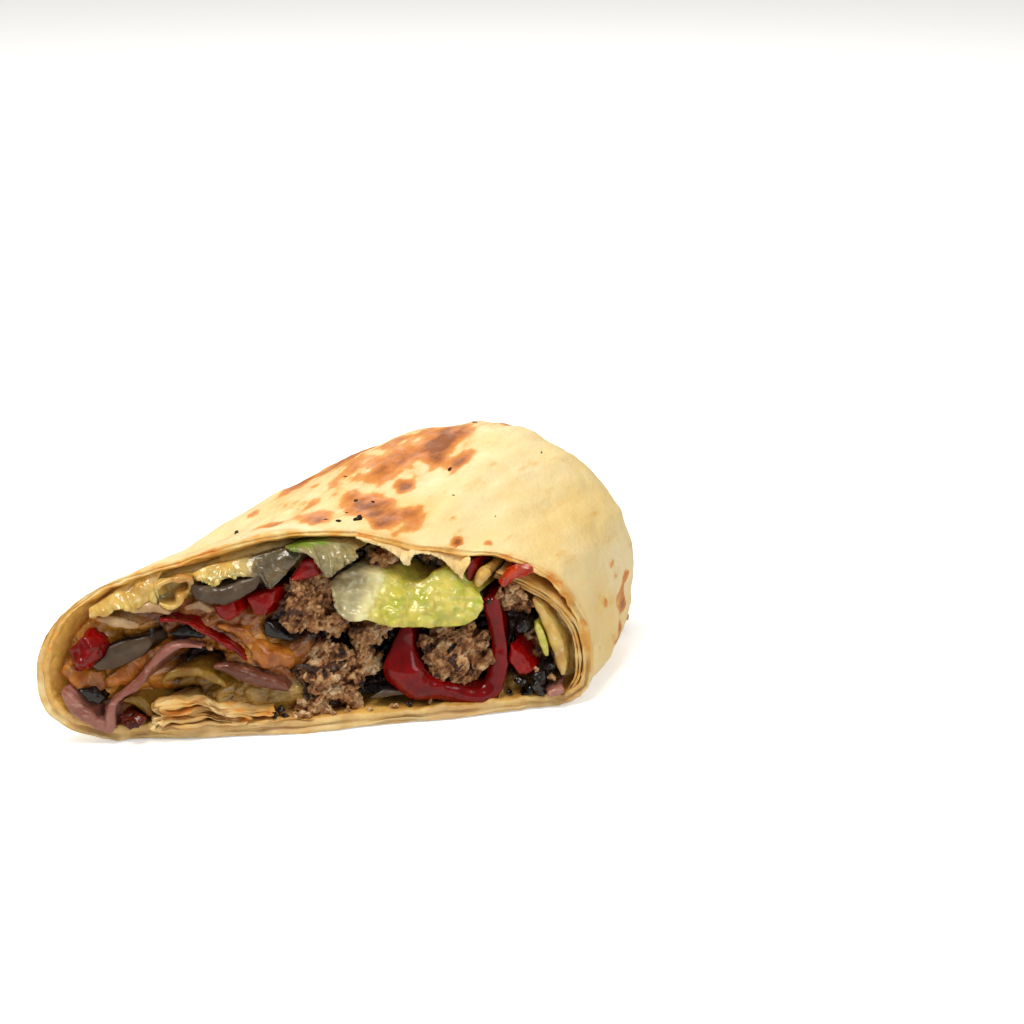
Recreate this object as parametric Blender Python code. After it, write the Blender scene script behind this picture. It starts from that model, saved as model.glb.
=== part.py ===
# Half of a filled flatbread wrap, cut on the slant and lying on its flat underside.
# The cut face stands in the XZ plane and faces -Y. The wrap runs back and to the right
# from it, narrows, and ends in a folded end with a flap tucked under.
# Shapes are worked out in millimetres and written to the meshes in metres.

import math

import bmesh
import bpy
from mathutils import Matrix, Vector, noise
from mathutils.bvhtree import BVHTree

MM = 0.001

# Plan of the half: the cut edge and the two sides that run back from it
CUT_WIDTH = 112.0
LONG_SIDE = 112.0
SHORT_SIDE = 46.0
LONG_SIDE_TURN = math.radians(50)
SHORT_SIDE_TURN = math.radians(30)

# Height of the top at the cut and at the crown, and of the widest line at nose, heel and end
CUT_HEIGHT = 41.0
CROWN_HEIGHT = 49.8
CROWN_REACHED = 0.75
NOSE_HEIGHT = 14.5
HEEL_HEIGHT = 8.5
END_HEIGHT = 13.0

# How square the section is, above and below its widest line
SIDE_ROUNDNESS = 2.2
NOSE_BASE_ROUNDNESS = 3.3
HEEL_BASE_ROUNDNESS = 4.6
END_BASE_ROUNDNESS = 2.9
BASE_SINK = 3.0

# Dips of the top at the cut: place across, spread and depth
SAGS = ((-28.0, 12.0, 1.9), (24.0, 14.0, 3.4))

# The folded end closes over the last stations
END_START = 0.60
END_SQUARENESS = 2.8
END_RADIUS = 62.0

# Step of the sheet's outer edge, low on the long side
SEAM_TURN = math.radians(186)
SEAM_STEP = 1.3

# Sheet, the lip that bulges forward under the cut, and the plies folded on the floor
WALL = 2.3
LIP_REACH = 5.0
LIP_CENTRE = -6.0
LIP_SPREAD = 34.0
LIP_DEPTH = 10.0
PLY = 1.5
FOLD_PITCH = 2.35
FOLD_FLOOR = 2.9
FOLD_LEFT_ENDS = (-31.5, -32.5, -31.0, -29.5)
FOLD_RIGHT_ENDS = (-6.0, -16.5, -19.5, -15.0)

# Tongue of the folded end
FLAP_ROOT = 0.72
FLAP_REACH = 15.0
FLAP_TIP_SHARE = 0.68
FLAP_TOP = 8.0

# Gaps between neighbours and round the meat, reach of the meat core, and facets of the body
CLEARANCE = 0.35
MEAT_CLEARANCE = 0.55
CORE_DEPTH = 10.5
CORE_END = 0.93
AROUND = 38
ALONG = 11
FLAT_ANGLE = math.radians(0.1)
MERGE = 0.01

FINISHES = {
    "bread": ((0.86, 0.72, 0.44), 0.62),
    "meat": ((0.24, 0.13, 0.07), 0.55),
    "pepper": ((0.48, 0.02, 0.02), 0.25),
    "tomato": ((0.55, 0.09, 0.03), 0.25),
    "olive": ((0.09, 0.075, 0.06), 0.3),
    "onion": ((0.50, 0.36, 0.22), 0.3),
    "cheese": ((0.62, 0.32, 0.08), 0.3),
    "ham": ((0.48, 0.22, 0.18), 0.35),
    "pickle": ((0.42, 0.36, 0.08), 0.3),
    "cabbage": ((0.70, 0.62, 0.32), 0.35),
    "lettuce": ((0.50, 0.56, 0.20), 0.3),
}


def clear_scene():
    for old in list(bpy.data.objects):
        bpy.data.objects.remove(old)


def finish_named(kind):
    material = bpy.data.materials.get(kind)
    if material is None:
        colour, roughness = FINISHES[kind]
        material = bpy.data.materials.new(kind)
        material.use_nodes = True
        shader = material.node_tree.nodes["Principled BSDF"]
        shader.inputs["Base Color"].default_value = (*colour, 1.0)
        shader.inputs["Roughness"].default_value = roughness
        shader.inputs["Metallic"].default_value = 0.0
    return material


# Body of the wrap


def smooth_step(low, high, value):
    """0 below low, 1 above high, and a soft rise between."""
    share = min(1.0, max(0.0, (value - low) / (high - low)))
    return share * share * (3 - 2 * share)


def side_points(station):
    """Plan points of the long and the short side at a station, 0 at the cut and 1 at the folded end."""
    half = CUT_WIDTH / 2
    long_reach = station * LONG_SIDE
    short_reach = station * SHORT_SIDE
    left = Vector((-half + long_reach * math.sin(LONG_SIDE_TURN), long_reach * math.cos(LONG_SIDE_TURN)))
    right = Vector((half + short_reach * math.sin(SHORT_SIDE_TURN), short_reach * math.cos(SHORT_SIDE_TURN)))
    return left, right


def crown(station):
    """Height of the top at a station, before the folded end closes it."""
    return CUT_HEIGHT + (CROWN_HEIGHT - CUT_HEIGHT) * smooth_step(0.0, CROWN_REACHED, station)


def end_closing(station):
    """How open the section still is: 1 along the body and 0 at the tip of the folded end."""
    past = max(0.0, (station - END_START) / (1 - END_START))
    return max(0.0, 1 - past**END_SQUARENESS) ** (1 / END_SQUARENESS)


def seam_step(turn, station):
    """How far the sheet's outer edge stands proud of the layer under it."""
    turn = turn % math.tau
    step = SEAM_STEP * smooth_step(SEAM_TURN, SEAM_TURN + 0.03, turn)
    fade = smooth_step(SEAM_TURN + 0.1, SEAM_TURN + 0.9, turn)
    return step * (1 - fade) * smooth_step(0.02, 0.08, station)


def section_height(turn, station, share, inset):
    """Height of a section's outline, with share the place across it from -1 to 1."""
    lift, open_share = math.sin(turn), end_closing(station)
    equator = NOSE_HEIGHT + (HEEL_HEIGHT - NOSE_HEIGHT) * (share + 1) / 2
    equator += (END_HEIGHT - equator) * smooth_step(0.2, 0.9, station)
    if lift >= 0:
        top = crown(station) - inset
        for centre, spread, depth in SAGS:
            away = (share * CUT_WIDTH / 2 - centre) / spread
            top -= depth * math.exp(-(away**2)) * (1 - smooth_step(0.0, 0.3, station))
        return equator + (top - equator) * lift ** (2 / SIDE_ROUNDNESS) * open_share
    roundness = NOSE_BASE_ROUNDNESS + (HEEL_BASE_ROUNDNESS - NOSE_BASE_ROUNDNESS) * (share + 1) / 2
    roundness += (END_BASE_ROUNDNESS - roundness) * smooth_step(0.1, 0.7, station)
    drop = (equator + BASE_SINK - inset) * abs(lift) ** (2 / roundness) * open_share**0.5
    return max(inset, equator - drop)


def place_across(turn):
    """Where a turn round the section lies across it, from -1 at the nose to 1 at the heel."""
    return math.copysign(abs(math.cos(turn)) ** (2 / SIDE_ROUNDNESS), math.cos(turn))


def body_point(turn, station, inset=0.0):
    """A point of the sheet's outside, or of a layer that lies inset from it. turn goes round the section."""
    station = station * (1 - inset / END_RADIUS)
    left, right = side_points(station)
    share = place_across(turn)
    half_width = (right - left).length / 2
    seam = seam_step(turn, station) if inset == 0 else 0.0
    reach = (half_width - inset + seam) / half_width
    plan = (left + right) / 2 + (right - left) / 2 * share * reach * end_closing(station) ** 0.55
    height = section_height(turn, station, share, inset)
    lip = LIP_REACH * math.exp(-(((share * CUT_WIDTH / 2 - LIP_CENTRE) / LIP_SPREAD) ** 2))
    lip *= max(0.0, 1 - height / LIP_DEPTH) * (1 - smooth_step(0.0, 0.12, station))
    return Vector((plan.x, plan.y - lip, height))


def run_of(x):
    """How the wrap runs back, in plan, from a place x across the cut to the folded end."""
    long_way = Vector((math.sin(LONG_SIDE_TURN), math.cos(LONG_SIDE_TURN))) * LONG_SIDE
    short_way = Vector((math.sin(SHORT_SIDE_TURN), math.cos(SHORT_SIDE_TURN))) * SHORT_SIDE
    return long_way.lerp(short_way, x / CUT_WIDTH + 0.5)


def flow(x, depth, z):
    """Carries a point of the cut face back along the wrap, depth millimetres behind the cut."""
    if depth <= 0:
        return Vector((x, depth, z))
    run = run_of(x)
    station = depth / run.y
    return Vector((x + station * run.x, depth, z * crown(station) / CUT_HEIGHT))


# Closed solids from rings, grids and crumbs


def new_solid(name, kind, points, faces):
    mesh = bpy.data.meshes.new(name)
    mesh.from_pydata([Vector(p) * MM for p in points], [], faces)
    shape = bmesh.new()
    shape.from_mesh(mesh)
    bmesh.ops.remove_doubles(shape, verts=shape.verts, dist=0.00001)
    bmesh.ops.recalc_face_normals(shape, faces=shape.faces)
    if shape.calc_volume(signed=True) < 0:
        bmesh.ops.reverse_faces(shape, faces=shape.faces)
    bmesh.ops.triangulate(shape, faces=shape.faces)
    shape.to_mesh(mesh)
    shape.free()
    mesh.materials.append(finish_named(kind))
    solid = bpy.data.objects.new(name, mesh)
    bpy.context.scene.collection.objects.link(solid)
    return solid


def ring_faces(rings, around, first=0):
    """Quads between neighbouring rings of the same number of points."""
    faces = []
    for ring in range(rings - 1):
        for k in range(around):
            a = first + ring * around + k
            b = first + ring * around + (k + 1) % around
            faces.append((a, b, b + around, a + around))
    return faces


def grid_solid(name, kind, front, back):
    """A closed sheet between two grids of the same size, front[i][j] and back[i][j]."""
    rows, columns = len(front), len(front[0])
    points = [p for row in front for p in row] + [p for row in back for p in row]
    count = rows * columns

    def at(side, i, j):
        return side * count + i * columns + j

    faces = []
    for i in range(rows - 1):
        for j in range(columns - 1):
            for side in (0, 1):
                a, b, c, d = (at(side, i, j), at(side, i + 1, j), at(side, i + 1, j + 1), at(side, i, j + 1))
                faces += [(a, b, c), (a, c, d)] if side == 0 else [(a, c, b), (a, d, c)]
    border = [(i, 0) for i in range(rows)] + [(rows - 1, j) for j in range(1, columns)]
    border += [(i, columns - 1) for i in range(rows - 2, -1, -1)]
    border += [(0, j) for j in range(columns - 2, 0, -1)]
    for k, (i, j) in enumerate(border):
        m, n = border[(k + 1) % len(border)]
        faces.append((at(0, i, j), at(0, m, n), at(1, m, n), at(1, i, j)))
    return new_solid(name, kind, points, faces)


def strip(name, kind, path, thickness, front, length, steps=2, lean=(0.0, 0.0), end_share=0.55):
    """A layer seen edge on at the cut. path is its line in the cut face, and it runs back into the food."""
    line = [Vector(p) for p in path]
    outer, inner = [], []
    for k, point in enumerate(line):
        along = line[min(len(line) - 1, k + 1)] - line[max(0, k - 1)]
        side = Vector((-along.y, along.x)).normalized()
        from_end = min(k, len(line) - 1 - k) / max(1, (len(line) - 1) / 2)
        half = thickness / 2 * (end_share + (1 - end_share) * min(1.0, from_end * 2.5))
        for rows, offset in ((outer, half), (inner, -half)):
            row = []
            for step in range(steps + 1):
                share = step / steps
                x = point.x + side.x * offset + lean[0] * share
                z = point.y + side.y * offset + lean[1] * share
                wave = 0.4 * math.sin(1.7 * k + 2.1 * step)
                row.append(flow(x, front + length * share + wave, z))
            rows.append(row)
    return grid_solid(name, kind, outer, inner)


def leaf(name, kind, upper, lower, depths, thickness, rows, root=16.0, ripple=0.7):
    """A leaf seen face on. It comes out of the food along upper and hangs down to lower."""
    front, back = [], []
    for k, (high, low) in enumerate(zip(upper, lower)):
        face, rear = [], []
        for row in range(-1, rows + 1):
            share = max(0, row) / rows
            place = Vector(high).lerp(Vector(low), share)
            depth = depths[0] + (depths[1] - depths[0]) * math.sin(share * math.pi / 2)
            depth += ripple * math.sin(1.9 * k + 2.4 * row) + (root if row < 0 else 0.0)
            face.append(flow(place.x, depth, place.y))
            if row < 1:
                rear.append(flow(place.x, depth + (0.0 if row < 0 else thickness), place.y - thickness))
            else:
                rear.append(flow(place.x, depth + thickness, place.y))
        front.append(face)
        back.append(rear)
    return grid_solid(name, kind, front, back)


def lump(name, kind, centre, radii, seed, rough=0.18, detail=2, tilt=0.0):
    """An uneven round piece, such as a crumb of meat or a bit of pepper."""
    shape = bmesh.new()
    bmesh.ops.create_icosphere(shape, subdivisions=detail, radius=1.0)
    turn = Matrix.Rotation(tilt, 3, "Y")
    points = []
    for vertex in shape.verts:
        swell = 1 + 2 * rough * noise.noise(vertex.co * 1.7 + Vector((seed, 1.7 * seed, -seed)))
        local = turn @ Vector([vertex.co[k] * radii[k] for k in range(3)]) * swell
        x, depth, z = centre[0] + local.x, centre[1] + local.y, centre[2] + local.z
        points.append(flow(x, depth, z))
    faces = [tuple(v.index for v in face.verts) for face in shape.faces]
    shape.free()
    return new_solid(name, kind, points, faces)


def block(name, kind, outline, front, length, taper=0.85, bulge=0.5):
    """A diced piece: its outline in the cut face, carried back into the food."""
    middle = sum((Vector(p) for p in outline), Vector((0, 0))) / len(outline)
    rings = []
    for share, size in ((0.0, 0.86), (0.12, 1.0), (0.7, 1.0), (1.0, taper)):
        for point in outline:
            place = middle + (Vector(point) - middle) * size
            rings.append(flow(place.x, front + share * length, place.y))
    around = len(outline)
    centre_front = flow(middle.x, front - bulge, middle.y)
    centre_back = flow(middle.x, front + length, middle.y)
    points = rings + [centre_front, centre_back]
    faces = ring_faces(4, around)
    for k in range(around):
        faces.append((k, len(rings), (k + 1) % around))
        last = 3 * around
        faces.append((last + k, last + (k + 1) % around, len(rings) + 1))
    return new_solid(name, kind, points, faces)


# Joining and keeping clear


def join_solids(name, kind, pieces):
    """One solid from overlapping pieces: a union, with loose scraps dropped."""
    # the exact solver leaves open edges here, so the manifold one is used
    base = pieces[0]
    group = bpy.data.collections.new(name + "_parts")
    for piece in pieces[1:]:
        group.objects.link(piece)
    union = base.modifiers.new("union", "BOOLEAN")
    union.operation = "UNION"
    union.solver = "MANIFOLD"
    union.operand_type = "COLLECTION"
    union.collection = group
    made = evaluated_mesh(base)
    for piece in pieces:
        bpy.data.objects.remove(piece)
    bpy.data.collections.remove(group)
    keep_largest(made)
    made.materials.clear()
    made.materials.append(finish_named(kind))
    solid = bpy.data.objects.new(name, made)
    bpy.context.scene.collection.objects.link(solid)
    return solid


def evaluated_mesh(solid):
    bpy.context.view_layer.update()
    graph = bpy.context.evaluated_depsgraph_get()
    return bpy.data.meshes.new_from_object(solid.evaluated_get(graph))


def keep_largest(mesh):
    """Joins flat neighbouring faces and drops every loose body of a mesh but the largest."""
    shape = bmesh.new()
    shape.from_mesh(mesh)
    bmesh.ops.remove_doubles(shape, verts=shape.verts, dist=MERGE * MM)
    bmesh.ops.dissolve_limit(shape, angle_limit=FLAT_ANGLE, verts=shape.verts, edges=shape.edges)
    bmesh.ops.triangulate(shape, faces=shape.faces)
    left, bodies = set(shape.faces), []
    while left:
        body, edge = set(), [next(iter(left))]
        while edge:
            face = edge.pop()
            if face in body:
                continue
            body.add(face)
            edge += [f for e in face.edges for f in e.link_faces if f not in body]
        left -= body
        bodies.append(body)
    largest = max(bodies, key=lambda body: sum(f.calc_area() for f in body))
    bmesh.ops.delete(shape, geom=[f for f in shape.faces if f not in largest], context="FACES")
    shape.to_mesh(mesh)
    shape.free()


def tree_of(solid, gap=0.0):
    points = [v.co + v.normal * gap * MM for v in solid.data.vertices]
    return BVHTree.FromPolygons(points, [tuple(p.vertices) for p in solid.data.polygons])


def grown_copy(solid, gap):
    mesh = solid.data.copy()
    for vertex, source in zip(mesh.vertices, solid.data.vertices):
        vertex.co = source.co + source.normal * gap * MM
    cutter = bpy.data.objects.new(solid.name + "_cutter", mesh)
    cutter.hide_render = True
    cutter.display_type = "WIRE"
    bpy.context.scene.collection.objects.link(cutter)
    return cutter


def cut_clear(solid, others, gap):
    """Cuts a solid back from others that it meets, so that a small gap is left."""
    own = tree_of(solid)
    cutters = [grown_copy(other, gap) for other in others if own.overlap(tree_of(other, gap))]
    if not cutters:
        return
    for cutter in cutters:
        cut = solid.modifiers.new("clear_of_" + cutter.name, "BOOLEAN")
        cut.operation = "DIFFERENCE"
        cut.solver = "MANIFOLD"
        cut.object = cutter
    made = evaluated_mesh(solid)
    keep_largest(made)
    solid.modifiers.clear()
    solid.data = made
    for cutter in cutters:
        bpy.data.objects.remove(cutter)


# Bread


def bread_shell():
    """The rolled sheet: a cup with its mouth at the cut and its closed bottom at the folded end."""
    stations = [math.sin(math.pi / 2 * k / ALONG) for k in range(ALONG + 1)]
    stations[-1] = 0.997
    points, rings = [], []
    for inset in (0.0, WALL):
        for station in stations:
            rings.append(len(points))
            points += [body_point(math.tau * k / AROUND, station, inset) for k in range(AROUND)]
    half = len(points) // 2
    faces = ring_faces(ALONG + 1, AROUND)
    faces += [tuple(reversed(f)) for f in ring_faces(ALONG + 1, AROUND, half)]
    for k in range(AROUND):
        n = (k + 1) % AROUND
        faces.append((n, k, half + k, half + n))
    for ring, flip in ((rings[ALONG], False), (rings[-1], True)):
        tip = sum(points[ring : ring + AROUND], Vector()) / AROUND
        points.append(tip)
        for k in range(AROUND):
            n = (k + 1) % AROUND
            face = (ring + k, ring + n, len(points) - 1)
            faces.append(tuple(reversed(face)) if flip else face)
    return new_solid("shell", "bread", points, faces)


def folded_plies():
    """The roll's inner end, folded to and fro on the floor of the wrap."""
    path = [Vector((FOLD_RIGHT_ENDS[0] + 6, FOLD_FLOOR - 0.9))]
    for run, (left, right) in enumerate(zip(FOLD_LEFT_ENDS, FOLD_RIGHT_ENDS)):
        height = FOLD_FLOOR + run * FOLD_PITCH
        first, last = (right, left) if run % 2 == 0 else (left, right)
        for share in (0.0, 0.35, 0.7, 1.0):
            wave = 0.35 * math.sin(2.6 * share + run)
            path.append(Vector((first + (last - first) * share, height + wave)))
        if run < len(FOLD_LEFT_ENDS) - 1:
            outward = -1 if run % 2 == 0 else 1
            for angle in (45, 90, 135):
                out = outward * FOLD_PITCH * 0.55 * math.sin(math.radians(angle))
                up = FOLD_PITCH / 2 * (1 - math.cos(math.radians(angle)))
                path.append(Vector((last + out, height + up)))
    path.append(Vector((-10.0, 8.4)))
    return strip("plies", "bread", path, PLY, -3.2, 36.0)


def heel_plies():
    """Inner turns of the roll that stand up along the short side."""
    path = [(50.6, 1.6), (53.2, 5.5), (53.4, 11.0), (51.8, 17.0), (47.6, 22.6), (41.5, 26.6), (35.5, 29.4)]
    return strip("heel", "bread", path, 1.7, -0.4, 28.0)


def torn_edge():
    """The ragged inner edge of the sheet, hanging in points from the top."""
    drops = (0.4, 3.2, 2.4, 5.4, 2.6, 3.8, 3.0, 4.4, 1.0)
    upper, lower = [], []
    for k, drop in enumerate(drops):
        turn = math.acos((8.0 + 2.8 * k) / (CUT_WIDTH / 2))
        wall = body_point(turn, 0.0, WALL * 0.6)
        upper.append((wall.x, wall.z))
        lower.append((wall.x + 0.3, wall.z - 1.2 - drop))
    return leaf("teeth", "bread", upper, lower, (3.4, 1.4), 0.9, 1, root=6.0, ripple=0.4)


def end_flap():
    """The corner of the sheet that is folded in at the end and sticks out as a low tongue."""
    left, right = side_points(1.0)
    root_left, root_right = side_points(FLAP_ROOT)
    columns, rows = 8, 3
    front, back = [], []
    for i in range(columns + 1):
        share = 0.06 + 0.86 * i / columns
        root, edge = root_left.lerp(root_right, share), left.lerp(right, share)
        rise = share / FLAP_TIP_SHARE if share < FLAP_TIP_SHARE else (1 - share) / (1 - FLAP_TIP_SHARE)
        reach_out = FLAP_REACH * smooth_step(0.0, 1.15, rise) - 3.0
        tip = edge + (edge - root).normalized() * reach_out
        face, rear = [], []
        for j in range(rows + 1):
            place = root.lerp(tip, j / rows)
            top = FLAP_TOP - 3.2 * j / rows + 0.8 * math.sin(7 * share)
            face.append(Vector((place.x, place.y, top)))
            rear.append(Vector((place.x, place.y, max(0.0, top - 8.0 + 3.6 * j / rows))))
        front.append(face)
        back.append(rear)
    return grid_solid("flap", "bread", front, back)


def build_bread():
    pieces = [bread_shell(), folded_plies(), heel_plies(), torn_edge(), end_flap()]
    return join_solids("tortilla", "bread", pieces)


# Filling


def filling_core():
    """The inside of the sheet filled with meat, from a flat front behind the cut to the folded end."""
    around, along = AROUND // 2, 7
    points = []
    for ring in range(along):
        for k in range(around):
            turn = math.tau * k / around
            front = CORE_DEPTH / run_of(place_across(turn) * CUT_WIDTH / 2).y
            station = front + (CORE_END - front) * math.sin(math.pi / 2 * ring / (along - 1))
            points.append(body_point(turn, station, WALL + MEAT_CLEARANCE))
    near = sum(points[:around], Vector()) / around
    far = sum(points[-around:], Vector()) / around
    faces = ring_faces(along, around)
    last = (along - 1) * around
    for k in range(around):
        faces.append((k, len(points), (k + 1) % around))
        faces.append((last + k, last + (k + 1) % around, len(points) + 1))
    return new_solid("core", "meat", [*points, near, far], faces)


def build_meat():
    """The crumbled meat: a core that fills the roll, with the crumbs that show fused on."""
    groups = (
        # place, half spread, crumbs, radius, depth behind the cut
        ((-3.4, 25.6), (5.4, 3.6), 5, 3.6, 1.0),
        ((-1.0, 10.0), (5.6, 6.4), 8, 3.8, 1.5),
        ((2.6, 4.2), (3.6, 2.0), 2, 2.8, 0.5),
        ((25.8, 12.2), (5.0, 3.6), 6, 3.3, 0.0),
        ((9.0, 17.6), (2.0, 2.2), 2, 2.8, 2.5),
        ((12.0, 31.4), (3.0, 0.8), 2, 2.8, 8.0),
        ((39.4, 22.6), (2.0, 1.4), 2, 3.0, 3.0),
    )
    pieces = [filling_core()]
    for group, ((x, z), (wide, high), count, radius, depth) in enumerate(groups):
        for k in range(count):
            turn = 2.4 * k + group
            ring = math.sqrt((k + 0.4) / count)
            centre = (x + wide * ring * math.cos(turn), depth + 2.2 * ring, z + high * ring * math.sin(turn))
            size = radius * (0.8 + 0.35 * math.sin(5.1 * k + group))
            radii = (size, size * 1.5, size * 0.85)
            pieces.append(lump(f"crumb_{group}_{k}", "meat", centre, radii, 3 * group + k, 0.22, 1))
        radii = (wide + 0.6, 8.0, high + 1.2)
        pieces.append(lump(f"stem_{group}", "meat", (x, CORE_DEPTH + 0.5, z), radii, group, 0.1, 1))
    return join_solids("ground_meat", "meat", pieces)


def build_peppers():
    """Roasted red pepper: a ring seen from its side, diced pieces and shreds."""
    ring = [(18.6, 19.5), (18.2, 15.0), (19.2, 11.0), (21.4, 7.6), (25.4, 5.0), (30.0, 3.6), (33.8, 3.4)]
    ring += [(36.0, 6.0), (36.6, 11.0), (36.8, 16.0), (36.2, 20.5), (34.8, 25.0)]
    shred = [(-32.0, 25.4), (-27.5, 24.9), (-23.0, 22.9), (-17.5, 18.9), (-14.4, 15.6)]
    dice = {
        "pepper_top": (-0.6, [(-6.0, 30.6), (-3.6, 34.8), (-1.0, 35.6), (0.2, 31.6), (-2.4, 30.6)]),
        "pepper_dice_left": (-1.2, [(-20.6, 27.2), (-16.6, 27.8), (-15.9, 25), (-18, 23.3), (-20.8, 25.2)]),
        "pepper_dice_right": (-0.6, [(-15, 28.2), (-8.3, 29.2), (-8.9, 26.2), (-10.7, 23.6), (-13.2, 24.2)]),
        "pepper_right": (-1.0, [(38.4, 14.2), (41.6, 12.0), (43.6, 8.0), (40.2, 7.0), (38.0, 10.6)]),
    }
    return [
        strip("pepper_ring", "pepper", ring, 1.9, -2.6, 12.0, steps=3, lean=(-4.5, 0.6), end_share=0.7),
        strip("pepper_shred", "pepper", shred, 0.8, -1.4, 5.0),
        strip("pepper_sliver", "pepper", [(30.6, 32.0), (30.3, 29.8), (29.8, 27.6)], 1.7, 1.0, 8.0),
        lump("pepper_left", "pepper", (-45.6, -0.4, 20.0), (2.9, 4.4, 4.6), 4, 0.2, tilt=0.5),
        *[block(name, "pepper", outline, front, 9.0) for name, (front, outline) in dice.items()],
    ]


def build_olives():
    """Slices of black olive: cut faces with their dark skins, and whole ends."""
    left = [(-46.4, 16.4), (-43.6, 19.4), (-39.0, 21.2), (-33.2, 22.0)]
    left += [(-32.2, 20.2), (-34.6, 17.4), (-39.6, 15.4), (-44.0, 14.8)]
    crescent = [(-25.4, 31.2), (-23.6, 28.8), (-20.2, 28.2), (-15.6, 29.4)]
    crescent += [(-11.8, 31.2), (-13.2, 32.4), (-18.6, 31.4), (-22.4, 31.2)]
    slices = {
        "olive_left": (-1.0, left),
        "olive_crescent": (0.4, crescent),
        "olive_upper": (0.4, [(-31.0, 21.4), (-26.8, 23.2), (-22.6, 20.8), (-23.0, 19.8), (-28.0, 19.9)]),
        "olive_low": (-1.0, [(-48.0, 11.6), (-44.8, 12.0), (-42.2, 9.6), (-43.2, 8.2), (-46.2, 8.6)]),
        "olive_mid": (0.4, [(-11.6, 22.8), (-10.2, 22.4), (-6.4, 19.2), (-6.2, 17.6), (-11.6, 19.2)]),
        "olive_bottom": (0.4, [(8.4, 3.4), (12.0, 5.0), (16.6, 4.2), (17.6, 3.2), (9.0, 2.9)]),
    }
    return [
        *[block(name, "olive", outline, front, 9.0) for name, (front, outline) in slices.items()],
        lump("olive_right_upper", "olive", (41.0, 3.0, 17.6), (2.4, 4.0, 2.5), 8, 0.15),
        lump("olive_right_lower", "olive", (44.6, 2.0, 6.6), (2.3, 4.0, 2.7), 9, 0.15),
    ]


def build_soft_layers():
    """Ham, melted cheese, onion, pickled pepper and tomato."""
    ribbon = [(-23.6, 17.3), (-24.8, 18.7), (-27.2, 19.1), (-29.6, 18.2), (-31.4, 15.6), (-33.6, 13.4)]
    ribbon += [(-36.4, 11.8), (-39.0, 10.2), (-41.2, 7.8), (-41.8, 5.0), (-41.6, 3.4)]
    melted = [(-20.6, 21.6), (-16.4, 20.4), (-13.4, 17.0), (-9.8, 14.4), (-6.2, 13.8)]
    layers = (
        # name, kind, path in the cut face, thickness, front, length
        ("ham_ribbon", "ham", ribbon, 1.2, -2.0, 24.0),
        ("ham_low", "ham", [(-51.0, 12.2), (-48.6, 8.6), (-46.2, 6.0), (-43.6, 3.9)], 1.7, -1.4, 28.0),
        ("ham_mid", "ham", [(-20.8, 15.6), (-17.2, 13.2), (-12.4, 11.0), (-7.8, 9.0)], 2.6, -1.2, 24.0),
        ("ham_heel", "ham", [(45.8, 3.6), (47.4, 3.9), (49.0, 4.3)], 1.5, -3.0, 9.0),
        ("cheese_left", "cheese", [(-50.4, 16.6), (-48.6, 14.4), (-46, 13.2), (-42.4, 12.4)], 2.3, 0.0, 20.0),
        ("cheese_strip", "cheese", [(-41.4, 12.6), (-38, 14.6), (-34, 16.9), (-31.8, 18.9)], 2.2, -0.8, 18),
        ("cheese_mid", "cheese", melted, 3.6, -0.4, 20.0),
        ("onion_left", "onion", [(-43.4, 26.0), (-39.6, 25.2), (-35.6, 23.9)], 1.7, -1.0, 9.0),
        ("onion_mid", "onion", [(-36.0, 26.8), (-33.2, 27.4), (-30.4, 26.2)], 1.9, -1.2, 9.0),
        ("onion_brown", "onion", [(-26.8, 26.4), (-23.8, 26.9), (-21.6, 25.6)], 2.0, -0.2, 8.0),
        ("pickle_top", "pickle", [(-31, 12.6), (-28.6, 14), (-24.6, 13.8), (-20.6, 11.9)], 1.6, -0.6, 10.0),
        ("pickle_low", "pickle", [(-39.4, 8.6), (-37.0, 7.6), (-35.0, 5.6)], 1.9, -0.4, 10.0),
        ("tomato_skin", "tomato", [(36.2, 27.2), (37.6, 28.6), (39.8, 30.0), (42.4, 30.4)], 2.2, -3.4, 7.0),
    )
    return [
        *[strip(*layer) for layer in layers],
        lump("tomato_charred", "tomato", (-37.4, -0.6, 4.7), (2.9, 4.0, 1.5), 12, 0.16),
    ]


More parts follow.
